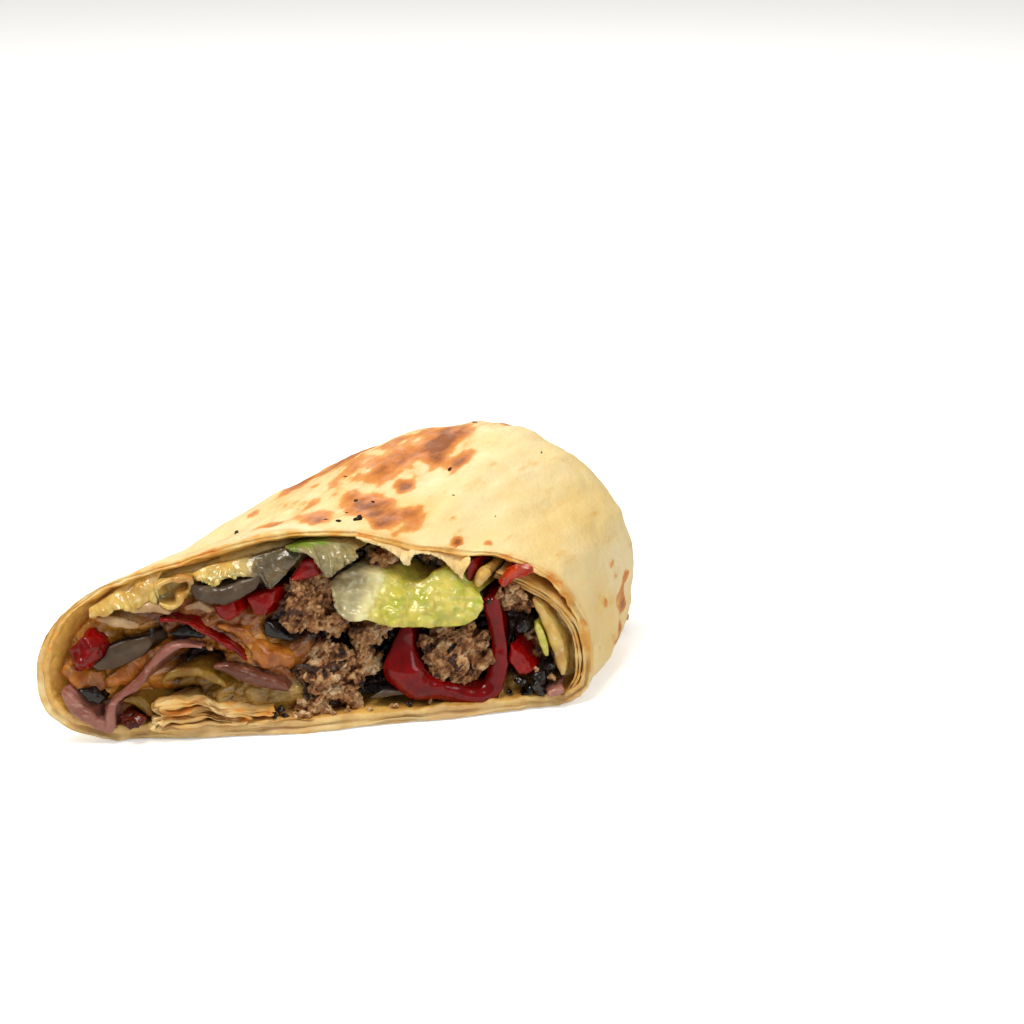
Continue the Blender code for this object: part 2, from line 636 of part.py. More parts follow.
def build_greens():
    """Lettuce and cabbage: leaves seen face on, and shreds and a rib seen edge on."""
    leaf_upper = [(1.8, 29.4), (5.6, 31.6), (10.4, 31.4), (15.4, 29.6)]
    leaf_upper += [(18.2, 28.2), (21.6, 27.8), (26.4, 27.4), (30.4, 25.0)]
    leaf_lower = [(2.4, 23.6), (5.4, 22.8), (9.6, 21.8), (13.4, 20.2)]
    leaf_lower += [(17.6, 19.6), (22.0, 19.2), (27.0, 19.6), (31.4, 21.4)]
    hang_upper = [(-1.4, 37.4), (1.2, 37.9), (3.8, 37.3), (7.4, 35.4)]
    hang_lower = [(-0.2, 35.4), (1.4, 31.8), (3.4, 32.6), (7.2, 34.2)]
    grey_upper = [(-17.4, 34.6), (-13.0, 35.8), (-8.4, 36.6), (-3.6, 36.9)]
    grey_lower = [(-15.2, 33.2), (-11.4, 31.6), (-8.0, 32.0), (-5.0, 35.4)]
    loop = [(-32.0, 30.2), (-29.0, 31.6), (-25.6, 32.6), (-26.2, 30.4), (-28.2, 28.6), (-31.0, 28.6)]
    shreds = (
        # name, kind, path in the cut face, thickness, front, length
        ("lettuce_right", "lettuce", [(32.8, 26.9), (33.0, 29.0), (34.2, 30.0)], 1.6, -1.0, 7.0),
        ("lettuce_sprig", "lettuce", [(44.6, 18.4), (45.0, 14.6), (45.6, 11.2)], 1.2, -1.8, 9.0),
        ("cabbage_rib", "cabbage", [(44.4, 22.2), (47.0, 18.0), (48.6, 12.4), (49.4, 7.2)], 2.2, -0.8, 22.0),
        ("cabbage_loop", "cabbage", loop, 0.9, -2.2, 9.0),
        ("cabbage_left", "cabbage", [(-43.2, 28), (-40, 29.6), (-36.4, 29.9), (-34, 31.6)], 1.7, -0.4, 22.0),
        ("cabbage_right", "cabbage", [(-24.0, 34.0), (-21.4, 33.6), (-19.2, 33.0)], 1.4, -1.4, 10.0),
    )
    return [
        leaf("lettuce_leaf", "lettuce", leaf_upper, leaf_lower, (1.0, -4.6), 0.9, 3),
        leaf("lettuce_hanging", "lettuce", hang_upper, hang_lower, (0.4, -3.0), 0.8, 2),
        leaf("lettuce_grey", "lettuce", grey_upper, grey_lower, (0.6, -1.4), 0.8, 2),
        *[strip(*shred) for shred in shreds],
    ]


def centre_on_base(solids):
    """Moves all so that the origin is the middle of the box's underside."""
    corners = [solid.matrix_world @ v.co for solid in solids for v in solid.data.vertices]
    low = Vector([min(c[k] for c in corners) for k in range(3)])
    high = Vector([max(c[k] for c in corners) for k in range(3)])
    shift = Vector((-(low.x + high.x) / 2, -(low.y + high.y) / 2, -low.z))
    for solid in solids:
        solid.data.transform(Matrix.Translation(shift))


def main():
    clear_scene()
    bread = build_bread()
    filling = [*build_greens(), *build_peppers(), *build_olives(), *build_soft_layers()]
    meat = build_meat()
    for place, piece in enumerate(filling):
        cut_clear(piece, [bread, *filling[:place]], CLEARANCE)
    cut_clear(meat, [bread, *filling], MEAT_CLEARANCE)
    centre_on_base([bread, *filling, meat])


main()
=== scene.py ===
import math

import bpy
from mathutils import Matrix, Vector, noise


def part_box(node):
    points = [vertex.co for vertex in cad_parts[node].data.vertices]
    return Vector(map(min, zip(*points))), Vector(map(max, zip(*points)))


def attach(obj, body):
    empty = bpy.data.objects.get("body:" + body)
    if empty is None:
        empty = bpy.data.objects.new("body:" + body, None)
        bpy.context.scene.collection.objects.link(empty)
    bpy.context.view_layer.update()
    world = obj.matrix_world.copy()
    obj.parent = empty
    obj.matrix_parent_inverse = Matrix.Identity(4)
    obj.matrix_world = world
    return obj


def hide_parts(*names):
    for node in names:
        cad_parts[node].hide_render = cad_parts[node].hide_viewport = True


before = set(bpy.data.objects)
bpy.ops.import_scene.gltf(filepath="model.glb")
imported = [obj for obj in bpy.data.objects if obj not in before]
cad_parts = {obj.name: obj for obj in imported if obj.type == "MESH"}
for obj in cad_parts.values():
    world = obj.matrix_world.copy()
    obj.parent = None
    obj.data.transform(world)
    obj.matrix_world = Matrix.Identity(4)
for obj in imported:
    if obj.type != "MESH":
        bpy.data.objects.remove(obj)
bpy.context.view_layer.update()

# the wrap lies on z = 0, its cut faces -Y, and all sizes below are in millimetres
mm = 0.001
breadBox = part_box("tortilla")

# plan and section of the wrap: the same named sizes as its solid has
wrap = {
    "cutWidth": 112.0,
    "longSide": 112.0,
    "shortSide": 46.0,
    "longTurn": math.radians(50),
    "shortTurn": math.radians(30),
    "cutHeight": 41.0,
    "crownHeight": 49.8,
    "crownReached": 0.75,
    "noseHeight": 14.5,
    "heelHeight": 8.5,
    "endHeight": 13.0,
    "sideRoundness": 2.2,
    "noseBase": 3.3,
    "heelBase": 4.6,
    "endBase": 2.9,
    "baseSink": 3.0,
    "sags": ((-28.0, 12.0, 1.9), (24.0, 14.0, 3.4)),
    "endStart": 0.60,
    "endSquareness": 2.8,
    "endRadius": 62.0,
    "seamTurn": math.radians(186),
    "seamStep": 1.3,
    "lipReach": 5.0,
    "lipCentre": -6.0,
    "lipSpread": 34.0,
    "lipRight": 56.0,
    "lipDepth": 10.0,
    "lipEnd": 0.12,
}
# where the middle of the cut stands in the frame
cutPlace = Vector((breadBox[0].x / mm + wrap["cutWidth"] / 2,
                   breadBox[0].y / mm + wrap["lipReach"], 0.0))
# the turn in plan by which the wrap runs back to the right: the way of its grain and streaks
grainTurn = math.radians(46)


def softStep(low, high, value):
    # 0 at low, 1 at high, and a soft rise or fall between
    share = min(1.0, max(0.0, (value - low) / (high - low)))
    return share * share * (3 - 2 * share)


def grainPlace(x, y):
    # how far a point of the plan lies along the grain, and across it
    return (x * math.cos(grainTurn) + y * math.sin(grainTurn),
            y * math.cos(grainTurn) - x * math.sin(grainTurn))


def sidePoints(station):
    half = wrap["cutWidth"] / 2
    longReach = station * wrap["longSide"]
    shortReach = station * wrap["shortSide"]
    left = Vector((-half + longReach * math.sin(wrap["longTurn"]),
                   longReach * math.cos(wrap["longTurn"])))
    right = Vector((half + shortReach * math.sin(wrap["shortTurn"]),
                    shortReach * math.cos(wrap["shortTurn"])))
    return left, right


def crownAt(station):
    rise = wrap["crownHeight"] - wrap["cutHeight"]
    return wrap["cutHeight"] + rise * softStep(0.0, wrap["crownReached"], station)


def endOpening(station):
    past = max(0.0, (station - wrap["endStart"]) / (1 - wrap["endStart"]))
    return max(0.0, 1 - past ** wrap["endSquareness"]) ** (1 / wrap["endSquareness"])


def seamAt(turn, station):
    turn = turn % math.tau
    step = wrap["seamStep"] * softStep(wrap["seamTurn"], wrap["seamTurn"] + 0.03, turn)
    fade = softStep(wrap["seamTurn"] + 0.1, wrap["seamTurn"] + 0.9, turn)
    return step * (1 - fade) * softStep(0.02, 0.08, station)


def heightAt(turn, station, share, inset):
    lift, opening = math.sin(turn), endOpening(station)
    widest = wrap["noseHeight"] + (wrap["heelHeight"] - wrap["noseHeight"]) * (share + 1) / 2
    widest += (wrap["endHeight"] - widest) * softStep(0.2, 0.9, station)
    if lift >= 0:
        top = crownAt(station) - inset
        for centre, spread, depth in wrap["sags"]:
            away = (share * wrap["cutWidth"] / 2 - centre) / spread
            top -= depth * math.exp(-(away**2)) * (1 - softStep(0.0, 0.3, station))
        return widest + (top - widest) * lift ** (2 / wrap["sideRoundness"]) * opening
    base = wrap["noseBase"] + (wrap["heelBase"] - wrap["noseBase"]) * (share + 1) / 2
    base += (wrap["endBase"] - base) * softStep(0.1, 0.7, station)
    drop = (widest + wrap["baseSink"] - inset) * abs(lift) ** (2 / base) * opening**0.5
    return max(inset, widest - drop)


def acrossAt(turn):
    return math.copysign(abs(math.cos(turn)) ** (2 / wrap["sideRoundness"]), math.cos(turn))


def wrapPoint(turn, station, inset=0.0):
    # a point of the sheet's outside, or of a layer that lies inset from it
    station = station * (1 - inset / wrap["endRadius"])
    left, right = sidePoints(station)
    share = acrossAt(turn)
    halfWidth = (right - left).length / 2
    seam = seamAt(turn, station) if inset == 0 else 0.0
    reach = (halfWidth - inset + seam) / halfWidth
    plan = (left + right) / 2 + (right - left) / 2 * share * reach * endOpening(station) ** 0.55
    height = heightAt(turn, station, share, inset)
    away = share * wrap["cutWidth"] / 2 - wrap["lipCentre"]
    if away < 0:
        lip = math.exp(-((away / wrap["lipSpread"]) ** 2))
    else:
        lip = math.exp(-((away / wrap["lipRight"]) ** 4))
    fade = 1 - softStep(0.0, wrap["lipEnd"], station)
    lip *= wrap["lipReach"] * max(0.0, 1 - height / wrap["lipDepth"]) * fade
    return Vector((plan.x, plan.y - lip, height))


def wayBack(side):
    # where a side of the wrap runs back to, in plan
    turn = wrap[side + "Turn"]
    return Vector((math.sin(turn), math.cos(turn))) * wrap[side + "Side"]


def carryBack(x, depth, z):
    # takes a point of the cut face back along the wrap
    if depth <= 0:
        return Vector((x, depth, z))
    way = wayBack("long").lerp(wayBack("short"), x / wrap["cutWidth"] + 0.5)
    station = depth / way.y
    return Vector((x + station * way.x, depth, z * crownAt(station) / wrap["cutHeight"]))


def inFrame(point):
    return (Vector(point) + cutPlace) * mm


# modelling helpers


def deselectAll():
    if bpy.context.object and bpy.context.object.mode != "OBJECT":
        bpy.ops.object.mode_set(mode="OBJECT")
    bpy.ops.object.select_all(action="DESELECT")


def makeActive(piece):
    deselectAll()
    piece.select_set(True)
    bpy.context.view_layer.objects.active = piece


def applyModifier(piece, kind, **settings):
    makeActive(piece)
    bpy.ops.object.modifier_add(type=kind)
    modifier = piece.modifiers[-1]
    for setting, value in settings.items():
        setattr(modifier, setting, value)
    bpy.ops.object.modifier_apply(modifier=modifier.name)


def closeUp(piece, gap=0.004, fillEnds=False):
    # merges points that meet, fills open ends where asked, then turns all faces outwards
    makeActive(piece)
    bpy.ops.object.mode_set(mode="EDIT")
    bpy.ops.mesh.select_all(action="SELECT")
    bpy.ops.mesh.remove_doubles(threshold=gap * mm)
    if fillEnds:
        bpy.ops.mesh.select_all(action="DESELECT")
        bpy.ops.mesh.select_non_manifold(extend=False)
        bpy.ops.mesh.edge_face_add()
        bpy.ops.mesh.select_all(action="SELECT")
    bpy.ops.mesh.normals_make_consistent(inside=False)
    bpy.ops.object.mode_set(mode="OBJECT")


def joinPieces(name, parts):
    deselectAll()
    for part in parts:
        part.select_set(True)
    bpy.context.view_layer.objects.active = parts[0]
    bpy.ops.object.join()
    parts[0].name = parts[0].data.name = name
    return parts[0]


def bentGrid(name, columns, rows, placeAt):
    # a flat grid whose points are then moved onto the form
    deselectAll()
    bpy.ops.mesh.primitive_grid_add(x_subdivisions=columns, y_subdivisions=rows, size=1)
    piece = bpy.context.object
    piece.name = piece.data.name = name
    for point in piece.data.vertices:
        point.co = inFrame(placeAt(min(1.0, point.co.x + 0.5), min(1.0, point.co.y + 0.5)))
    return piece


def copyOfNode(name, node):
    # the solid's own mesh, with its loose triangles merged
    piece = bpy.data.objects.new(name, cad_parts[node].data.copy())
    piece.data.name = name
    piece.data.materials.clear()
    bpy.context.scene.collection.objects.link(piece)
    closeUp(piece)
    return piece


def addLump(place, size, stretch, turn):
    # a small ball, stretched and turned in its place
    deselectAll()
    bpy.ops.mesh.primitive_ico_sphere_add(subdivisions=3, radius=size * mm, location=place)
    lump = bpy.context.object
    lump.scale = stretch
    lump.rotation_euler = turn
    bpy.ops.object.transform_apply(location=True, rotation=True, scale=True)
    return lump


# slope and level of crumbs and ridges, the slant of the ridges, and how long a crease is
bumpShape = {
    "crumbSlope": 1.6,
    "crumbLevel": 0.6,
    "ridgeSlope": 2.2,
    "ridgeLevel": 0.5,
    "slant": 0.71,
    "creaseRun": 7,
}


def bumpAt(spot, octaves, crumb, ridges, stretch, creases):
    # how far a point rises, in millimetres
    rise = sum(height * noise.noise(spot / size) for size, height in octaves)
    for size, height in crumb:
        near = noise.voronoi(spot / size)[0]
        wall = min(1.0, (near[1] - near[0]) * bumpShape["crumbSlope"])
        rise += height * (wall - bumpShape["crumbLevel"])
    slant = bumpShape["slant"]
    slanted = Vector(((spot.x + spot.z) * slant / stretch, spot.y, (spot.z - spot.x) * slant))
    for size, height in ridges:
        fall = bumpShape["ridgeSlope"] * abs(noise.noise(slanted / size))
        rise += height * (bumpShape["ridgeLevel"] - fall)
    along, aside = grainPlace(spot.x, spot.y)
    for size, height in creases:
        rise += height * noise.noise(Vector((along / bumpShape["creaseRun"], aside, spot.z)) / size)
    return rise


def roughen(piece, octaves, seed=0.0, crumb=(), ridges=(), store=None, sink=0.0, stretch=1.0,
            creases=()):
    # (size, height) noise along the normals: soft octaves, rounded crumbs and sharp ridges
    mesh = piece.data
    shift = Vector((seed, seed * 1.7, -seed))
    moves = []
    for point in mesh.vertices:
        spot = point.co / mm + shift
        moves.append(bumpAt(spot, octaves, crumb, ridges, stretch, creases) - sink)
    normals = [point.normal.copy() for point in mesh.vertices]
    factors = [1.0] * len(moves)
    if "move" in mesh.attributes:
        mesh.attributes["move"].data.foreach_get("value", factors)
    for point, rise, normal, factor in zip(mesh.vertices, moves, normals, factors):
        point.co += normal * rise * mm * factor
        point.co.z = max(0.0, point.co.z)
    if store:
        total = sum(height for size, height in (*octaves, *crumb, *ridges))
        addMarks(piece, {store: [0.5 + 0.5 * rise / total for rise in moves]})
    mesh.update()


def keepMarks(marks, **values):
    # adds one point's values to the lists of marks
    for mark, value in values.items():
        marks.setdefault(mark, []).append(value)


def addMarks(piece, marks):
    # values kept on the points, which the materials read
    for name, values in marks.items():
        piece.data.attributes.new(name, "FLOAT", "POINT").data.foreach_set("value", values)


def finishPiece(piece, finish, slot, *nodes):
    piece.data.materials.clear()
    piece.data.materials.append(finish)
    makeActive(piece)
    bpy.ops.object.shade_smooth()
    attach(piece, "root")
    if nodes:
        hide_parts(*nodes)
    return piece


# shader helpers and groups


def srgb(red, green, blue):
    # a colour as read off a screen, 0 to 255, made linear
    def channel(value):
        value /= 255
        return value / 12.92 if value <= 0.04045 else ((value + 0.055) / 1.055) ** 2.4

    return (channel(red), channel(green), channel(blue), 1.0)


def setInputs(tree, made, inputs):
    # each input gets a link or a value of its own
    for key, value in inputs.items():
        if isinstance(value, bpy.types.NodeSocket):
            tree.links.new(value, made.inputs[key])
        else:
            made.inputs[key].default_value = value
    return made


def addShader(tree, kind, inputs=None, **settings):
    made = tree.nodes.new("ShaderNode" + kind)
    for setting, value in settings.items():
        setattr(made, setting, value)
    return setInputs(tree, made, inputs or {})


def mixColours(tree, mask, first, second, blend="MIX"):
    made = tree.nodes.new("ShaderNodeMix")
    made.data_type = "RGBA"
    made.blend_type = blend
    return setInputs(tree, made, {0: mask, 6: first, 7: second}).outputs[2]


def ramp(tree, value, stops):
    made = addShader(tree, "ValToRGB", {0: value})
    band = made.color_ramp
    while len(band.elements) < len(stops):
        band.elements.new(0.5)
    for element, (position, colour) in zip(band.elements, stops):
        element.position = position
        element.color = colour
    return made.outputs[0]


def mapRange(tree, value, low, high, toLow=0.0, toHigh=1.0):
    made = addShader(tree, "MapRange", {0: value, 1: low, 2: high, 3: toLow, 4: toHigh})
    return made.outputs[0]


def mixPart(tree, mask, most, base, colour):
    # lays a colour over the base where the mask is, at most by the share given
    return mixColours(tree, mapRange(tree, mask, 0.0, 1.0, 0.0, most), base, colour)


def reckon(tree, operation, first, second):
    # one step of arithmetic between two values or sockets
    return addShader(tree, "Math", {0: first, 1: second}, operation=operation).outputs[0]


def addTimes(tree, first, second, times):
    # the first plus so many times the second
    return reckon(tree, "ADD", first, reckon(tree, "MULTIPLY", second, times))


def newGroup(name, inputs, outputs):
    group = bpy.data.node_groups.new(name, "ShaderNodeTree")
    for label, value in inputs.items():
        socket = group.interface.new_socket(name=label, in_out="INPUT", socket_type="NodeSocketFloat")
        socket.default_value = value
    for label in outputs:
        group.interface.new_socket(name=label, in_out="OUTPUT", socket_type="NodeSocketFloat")
    return group, group.nodes.new("NodeGroupInput").outputs, group.nodes.new("NodeGroupOutput")


def patchGroup():
    # soft-edged patches of a given size, stretched along the grain when asked
    inputs = {"Size": 5.0, "Stretch": 1.0, "Turn": 0.0, "Amount": 0.5, "Softness": 0.15, "Detail": 4.0}
    group, given, outside = newGroup("patches", inputs, ("Mask", "Field"))
    place = addShader(group, "TexCoord").outputs["Object"]
    turned = addShader(group, "VectorRotate", {"Vector": place, "Angle": given["Turn"]},
                       rotation_type="Z_AXIS").outputs[0]
    parted = addShader(group, "SeparateXYZ", {0: turned}).outputs
    along = reckon(group, "DIVIDE", parted[0], given["Stretch"])
    joined = addShader(group, "CombineXYZ", {0: along, 1: parted[1], 2: parted[2]}).outputs[0]
    scale = reckon(group, "DIVIDE", 1 / mm, given["Size"])
    inputs = {"Vector": joined, "Scale": scale, "Detail": given["Detail"]}
    field = addShader(group, "TexNoise", inputs).outputs["Fac"]
    edge = reckon(group, "SUBTRACT", 1.0, given["Amount"])
    low = reckon(group, "SUBTRACT", edge, given["Softness"])
    high = reckon(group, "ADD", edge, given["Softness"])
    setInputs(group, outside, {"Mask": mapRange(group, field, low, high), "Field": field})
    return group


def wetGroup():
    # small pits and glints of a moist surface: a height for bump and a roughness
    inputs = {"Size": 1.0, "Dull": 0.4, "Gloss": 0.1}
    group, given, outside = newGroup("wetSurface", inputs, ("Height", "Roughness"))
    place = addShader(group, "TexCoord").outputs["Object"]
    scale = reckon(group, "DIVIDE", 1 / mm, given["Size"])
    fine = addShader(group, "TexNoise", {"Vector": place, "Scale": scale, "Detail": 3.0})
    wideScale = reckon(group, "DIVIDE", scale, 4.0)
    wide = addShader(group, "TexNoise", {"Vector": place, "Scale": wideScale, "Detail": 2.0})
    rough = mapRange(group, wide.outputs["Fac"], 0.4, 0.6, given["Gloss"], given["Dull"])
    setInputs(group, outside, {"Height": fine.outputs["Fac"], "Roughness": rough})
    return group


def stainGroup():
    # painted shade: 0 at the cut face and up to 1 deep inside, by the depth behind the cut in millimetres,
    # so the filling darkens where shade falls deeper in
    group, given, outside = newGroup("depthStain", {"Front": 2.0, "Deep": 9.0}, ("Mask",))
    place = addShader(group, "TexCoord").outputs["Object"]
    depth = reckon(group, "MULTIPLY", addShader(group, "SeparateXYZ", {0: place}).outputs[1], 1 / mm)
    depth = reckon(group, "SUBTRACT", depth, cutPlace.y)
    mask = mapRange(group, depth, given["Front"], given["Deep"], 0.0, 0.92)
    setInputs(group, outside, {"Mask": mask})
    return group


groups = {"patches": patchGroup(), "wet": wetGroup(), "depthShade": stainGroup()}


def addGroup(tree, name, **values):
    made = tree.nodes.new("ShaderNodeGroup")
    made.node_tree = groups[name]
    return setInputs(tree, made, {key.capitalize(): value for key, value in values.items()})


def patches(tree, output="Mask", **values):
    return addGroup(tree, "patches", **values).outputs[output]


def stainMask(tree, front, deep):
    # painted shade: the filling darkens with depth behind the cut, where shade falls
    return addGroup(tree, "depthShade", front=front, deep=deep).outputs["Mask"]


def newMaterial(name, **constants):
    material = bpy.data.materials.new(name)
    material.use_nodes = True
    shader = material.node_tree.nodes["Principled BSDF"]
    for key, value in constants.items():
        shader.inputs[key].default_value = value
    return material, material.node_tree, shader


def addBump(tree, shader, height, distance, strength=1.0):
    inputs = {"Height": height, "Distance": distance * mm, "Strength": strength}
    tree.links.new(addShader(tree, "Bump", inputs).outputs[0], shader.inputs["Normal"])


def attribute(tree, name):
    return addShader(tree, "Attribute", attribute_name=name).outputs["Fac"]


def wetSurface(tree, shader, colour, size, dull, gloss):
    # links the colour and a moist roughness, and gives the height of the small pits
    wet = addGroup(tree, "wet", size=size, dull=dull, gloss=gloss).outputs
    setInputs(tree, shader, {"Base Color": colour, "Roughness": wet["Roughness"]})
    return wet["Height"]


def breadFinish():
    colours = {
        "pale": srgb(253, 236, 188),
        "warm": srgb(247, 216, 142),
        "cream": srgb(250, 230, 168),
        "golden": srgb(232, 174, 78),
        "orange": srgb(210, 128, 44),
        "tan": srgb(236, 164, 76),
        "brown": srgb(216, 130, 52),
        "dark": srgb(154, 86, 34),
        "line": srgb(142, 84, 34),
        "moist": srgb(192, 136, 52),
        "inner": srgb(248, 200, 100),
        "soaked": srgb(150, 108, 58),
    }
    material, tree, shader = newMaterial("toastedBread", **{
        "Subsurface Weight": 0.1, "Subsurface Scale": 0.003, "Subsurface Radius": (1.0, 0.6, 0.3)})
    wide = patches(tree, size=18.0, stretch=1.6, turn=-grainTurn, amount=0.5, softness=0.16)
    fine = patches(tree, size=2.4, stretch=3.0, turn=-grainTurn, amount=0.42, softness=0.2)
    base = mixColours(tree, wide, colours["pale"], colours["warm"])
    base = mixPart(tree, fine, 0.2, base, colours["golden"])
    # the cut edge is mottled cream and gold, the inside moist
    crumb = patches(tree, size=4.0, amount=0.52, softness=0.12, detail=5.0)
    burnt = patches(tree, size=5.5, amount=0.4, softness=0.1, detail=4.0)
    edge = mixColours(tree, crumb, colours["cream"], colours["golden"])
    edge = mixPart(tree, burnt, 0.35, edge, colours["orange"])
    base = mixColours(tree, attribute(tree, "rim"), base, edge)
    inner = mixColours(tree, crumb, colours["inner"], colours["moist"])
    base = mixColours(tree, attribute(tree, "inner"), base, inner)
    # moist and line are the bread's own colour; the third mark is painted shade on the low front edge
    for mark in ("moist", "line", "soaked"):
        base = mixColours(tree, attribute(tree, mark), base, colours[mark])
    # the toast breaks up into streaks and clouds, with a golden halo
    soft = {"turn": -grainTurn, "amount": 0.5, "softness": 0.3}
    streaks = patches(tree, "Field", size=2.6, stretch=5.0, detail=6.0, **soft)
    clouds = patches(tree, "Field", size=5.0, stretch=1.4, detail=8.0, **soft)
    broken = addTimes(tree, reckon(tree, "MULTIPLY", streaks, 1.5), clouds, 1.7)
    field = reckon(tree, "ADD", attribute(tree, "toast"), reckon(tree, "SUBTRACT", broken, 1.64))
    base = mixColours(tree, mapRange(tree, field, 0.18, 0.46, 0.0, 0.5), base, colours["golden"])
    stops = ((0.0, colours["tan"]), (0.5, colours["brown"]), (1.0, colours["dark"]))
    browned = ramp(tree, mapRange(tree, field, 0.42, 1.2), stops)
    colour = mixColours(tree, mapRange(tree, field, 0.4, 0.54), base, browned)
    speck = patches(tree, size=1.5, amount=0.25, softness=0.03, detail=2.0)
    colour = mixPart(tree, speck, 0.3, colour, colours["tan"])
    pits = wetSurface(tree, shader, colour, 0.9, 0.68, 0.42)
    addBump(tree, shader, reckon(tree, "ADD", reckon(tree, "MULTIPLY", streaks, 0.8), pits), 0.3, 0.6)
    return material


def meatFinish():
    colours = {
        "paintedShade": srgb(26, 13, 8),
        "dark": srgb(84, 50, 28),
        "mid": srgb(166, 110, 62),
        "light": srgb(216, 164, 108),
        "fat": srgb(232, 200, 156),
        "orange": srgb(176, 102, 44),
    }
    material, tree, shader = newMaterial("groundMeat", **{"Coat Weight": 0.2, "Coat Roughness": 0.2})
    tone = patches(tree, "Field", size=3.2, amount=0.5, softness=0.25, detail=9.0)
    grain = patches(tree, "Field", size=0.7, amount=0.5, softness=0.2, detail=6.0)
    # painted shade and light: the colour follows the relief, darker in the crevices and lighter on the
    # crests, mixed with the meat's own random tone and grain
    value = addTimes(tree, addTimes(tree, attribute(tree, "relief"), tone, 1.7), grain, 0.6)
    stops = ((0.0, colours["paintedShade"]), (0.22, colours["dark"]), (0.5, colours["mid"]),
             (0.8, colours["light"]), (1.0, colours["fat"]))
    colour = ramp(tree, mapRange(tree, value, 1.2, 1.9), stops)
    tint = patches(tree, size=7.0, amount=0.42, softness=0.08)
    colour = mixPart(tree, tint, 0.3, colour, colours["orange"])
    # painted shade: the meat goes almost black deeper behind the cut
    colour = mixColours(tree, stainMask(tree, 3.0, 9.0), colour, colours["paintedShade"])
    pits = wetSurface(tree, shader, colour, 0.5, 0.65, 0.3)
    addBump(tree, shader, addTimes(tree, pits, grain, 2.0), 0.5)
    return material


def moistFinish(name, first, second, accent, size=3.0, accentSize=1.6, accentAmount=0.34, gloss=0.1,
                dull=0.38, bump=0.15, through=0.1, wetSize=0.9, stretch=1.0, coat=0.35, front=2.0,
                deep=9.0, skin=None, juices=(0.3, 0.85)):
    # a wet piece of two tones, with small patches of a third, darker patches of juice, and painted shade
    # deeper behind the cut
    material, tree, shader = newMaterial(name, **{
        "Coat Weight": coat, "Coat Roughness": 0.07, "Specular IOR Level": 0.22,
        "Subsurface Weight": through, "Subsurface Scale": 0.002})
    tone = patches(tree, size=size, stretch=stretch, amount=0.5, softness=0.2, detail=5.0)
    spots = patches(tree, size=accentSize, stretch=stretch, amount=accentAmount, softness=0.08)
    colour = mixColours(tree, tone, srgb(*first), srgb(*second))
    colour = mixPart(tree, spots, 0.8, colour, srgb(*accent))
    if skin:
        colour = mixColours(tree, attribute(tree, "skin"), colour, srgb(*skin))
    juice = patches(tree, size=5.0, amount=0.42, softness=0.12, detail=5.0)
    juiceMask = mapRange(tree, juice, 0.0, 1.0, *juices)
    colour = mixColours(tree, juiceMask, colour, (0.62, 0.36, 0.2, 1.0), "MULTIPLY")
    # painted shade: darker brown with depth behind the cut
    colour = mixColours(tree, stainMask(tree, front, deep), colour, srgb(40, 18, 8))
    addBump(tree, shader, wetSurface(tree, shader, colour, wetSize, dull, gloss), bump)
    return material


def leafFinish(name, leaf, bright, pale, ridge, deep=12.0):
    # a thin wet leaf with veins: its marks say where it is paler and where the thick ridge runs
    material, tree, shader = newMaterial(name, **{
        "Coat Weight": 0.45, "Coat Roughness": 0.08, "Subsurface Weight": 0.3, "Subsurface Scale": 0.002})
    tone = patches(tree, size=3.4, amount=0.5, softness=0.14, detail=4.0)
    veins = patches(tree, size=0.8, stretch=7.0, turn=0.5, amount=0.42, softness=0.1, detail=2.0)
    colour = mixColours(tree, tone, srgb(*leaf), srgb(*bright))
    colour = mixColours(tree, attribute(tree, "pale"), colour, srgb(*pale))
    colour = mixColours(tree, attribute(tree, "ridge"), colour, srgb(*ridge))
    colour = mixPart(tree, veins, 0.22, colour, srgb(*ridge))
    browned = patches(tree, size=5.0, amount=0.34, softness=0.08, detail=3.0)
    colour = mixPart(tree, browned, 0.35, colour, srgb(140, 104, 44))
    # painted shade: darker olive with depth behind the cut
    colour = mixColours(tree, stainMask(tree, 2.0, deep), colour, srgb(58, 46, 14))
    pits = wetSurface(tree, shader, colour, 1.6, 0.28, 0.04)
    addBump(tree, shader, addTimes(tree, pits, veins, 0.2), 0.4, 0.8)
    return material


def sauceFinish():
    # melted cheese, cream and juices that fill the gaps, mixed by the marks on the piece
    material, tree, shader = newMaterial("sauceAndCheese", **{
        "Coat Weight": 0.6, "Coat Roughness": 0.07, "Subsurface Weight": 0.15, "Subsurface Scale": 0.002})
    tone = patches(tree, size=3.0, amount=0.5, softness=0.2, detail=5.0)
    stains = patches(tree, size=4.0, amount=0.42, softness=0.1, detail=6.0)
    colour = mixColours(tree, tone, srgb(30, 14, 8), srgb(70, 26, 12))
    zones = (
        ("cheesy", (204, 126, 30), (228, 160, 58)),
        ("golden", (158, 84, 24), (196, 128, 52)),
        ("creamy", (226, 204, 138), (206, 174, 98)),
        ("olivey", (160, 124, 46), (196, 158, 74)),
    )
    for mark, first, second in zones:
        zone = mixColours(tree, tone, srgb(*first), srgb(*second))
        colour = mixColours(tree, attribute(tree, mark), colour, zone)
    colour = mixPart(tree, stains, 0.55, colour, srgb(96, 44, 16))
    # painted shade: near-black with depth behind the cut
    colour = mixColours(tree, stainMask(tree, 3.0, 9.0), colour, srgb(20, 9, 6))
    addBump(tree, shader, wetSurface(tree, shader, colour, 1.1, 0.35, 0.06), 0.6, 0.9)
    return material


print("shaders ready")

# the rolled sheet

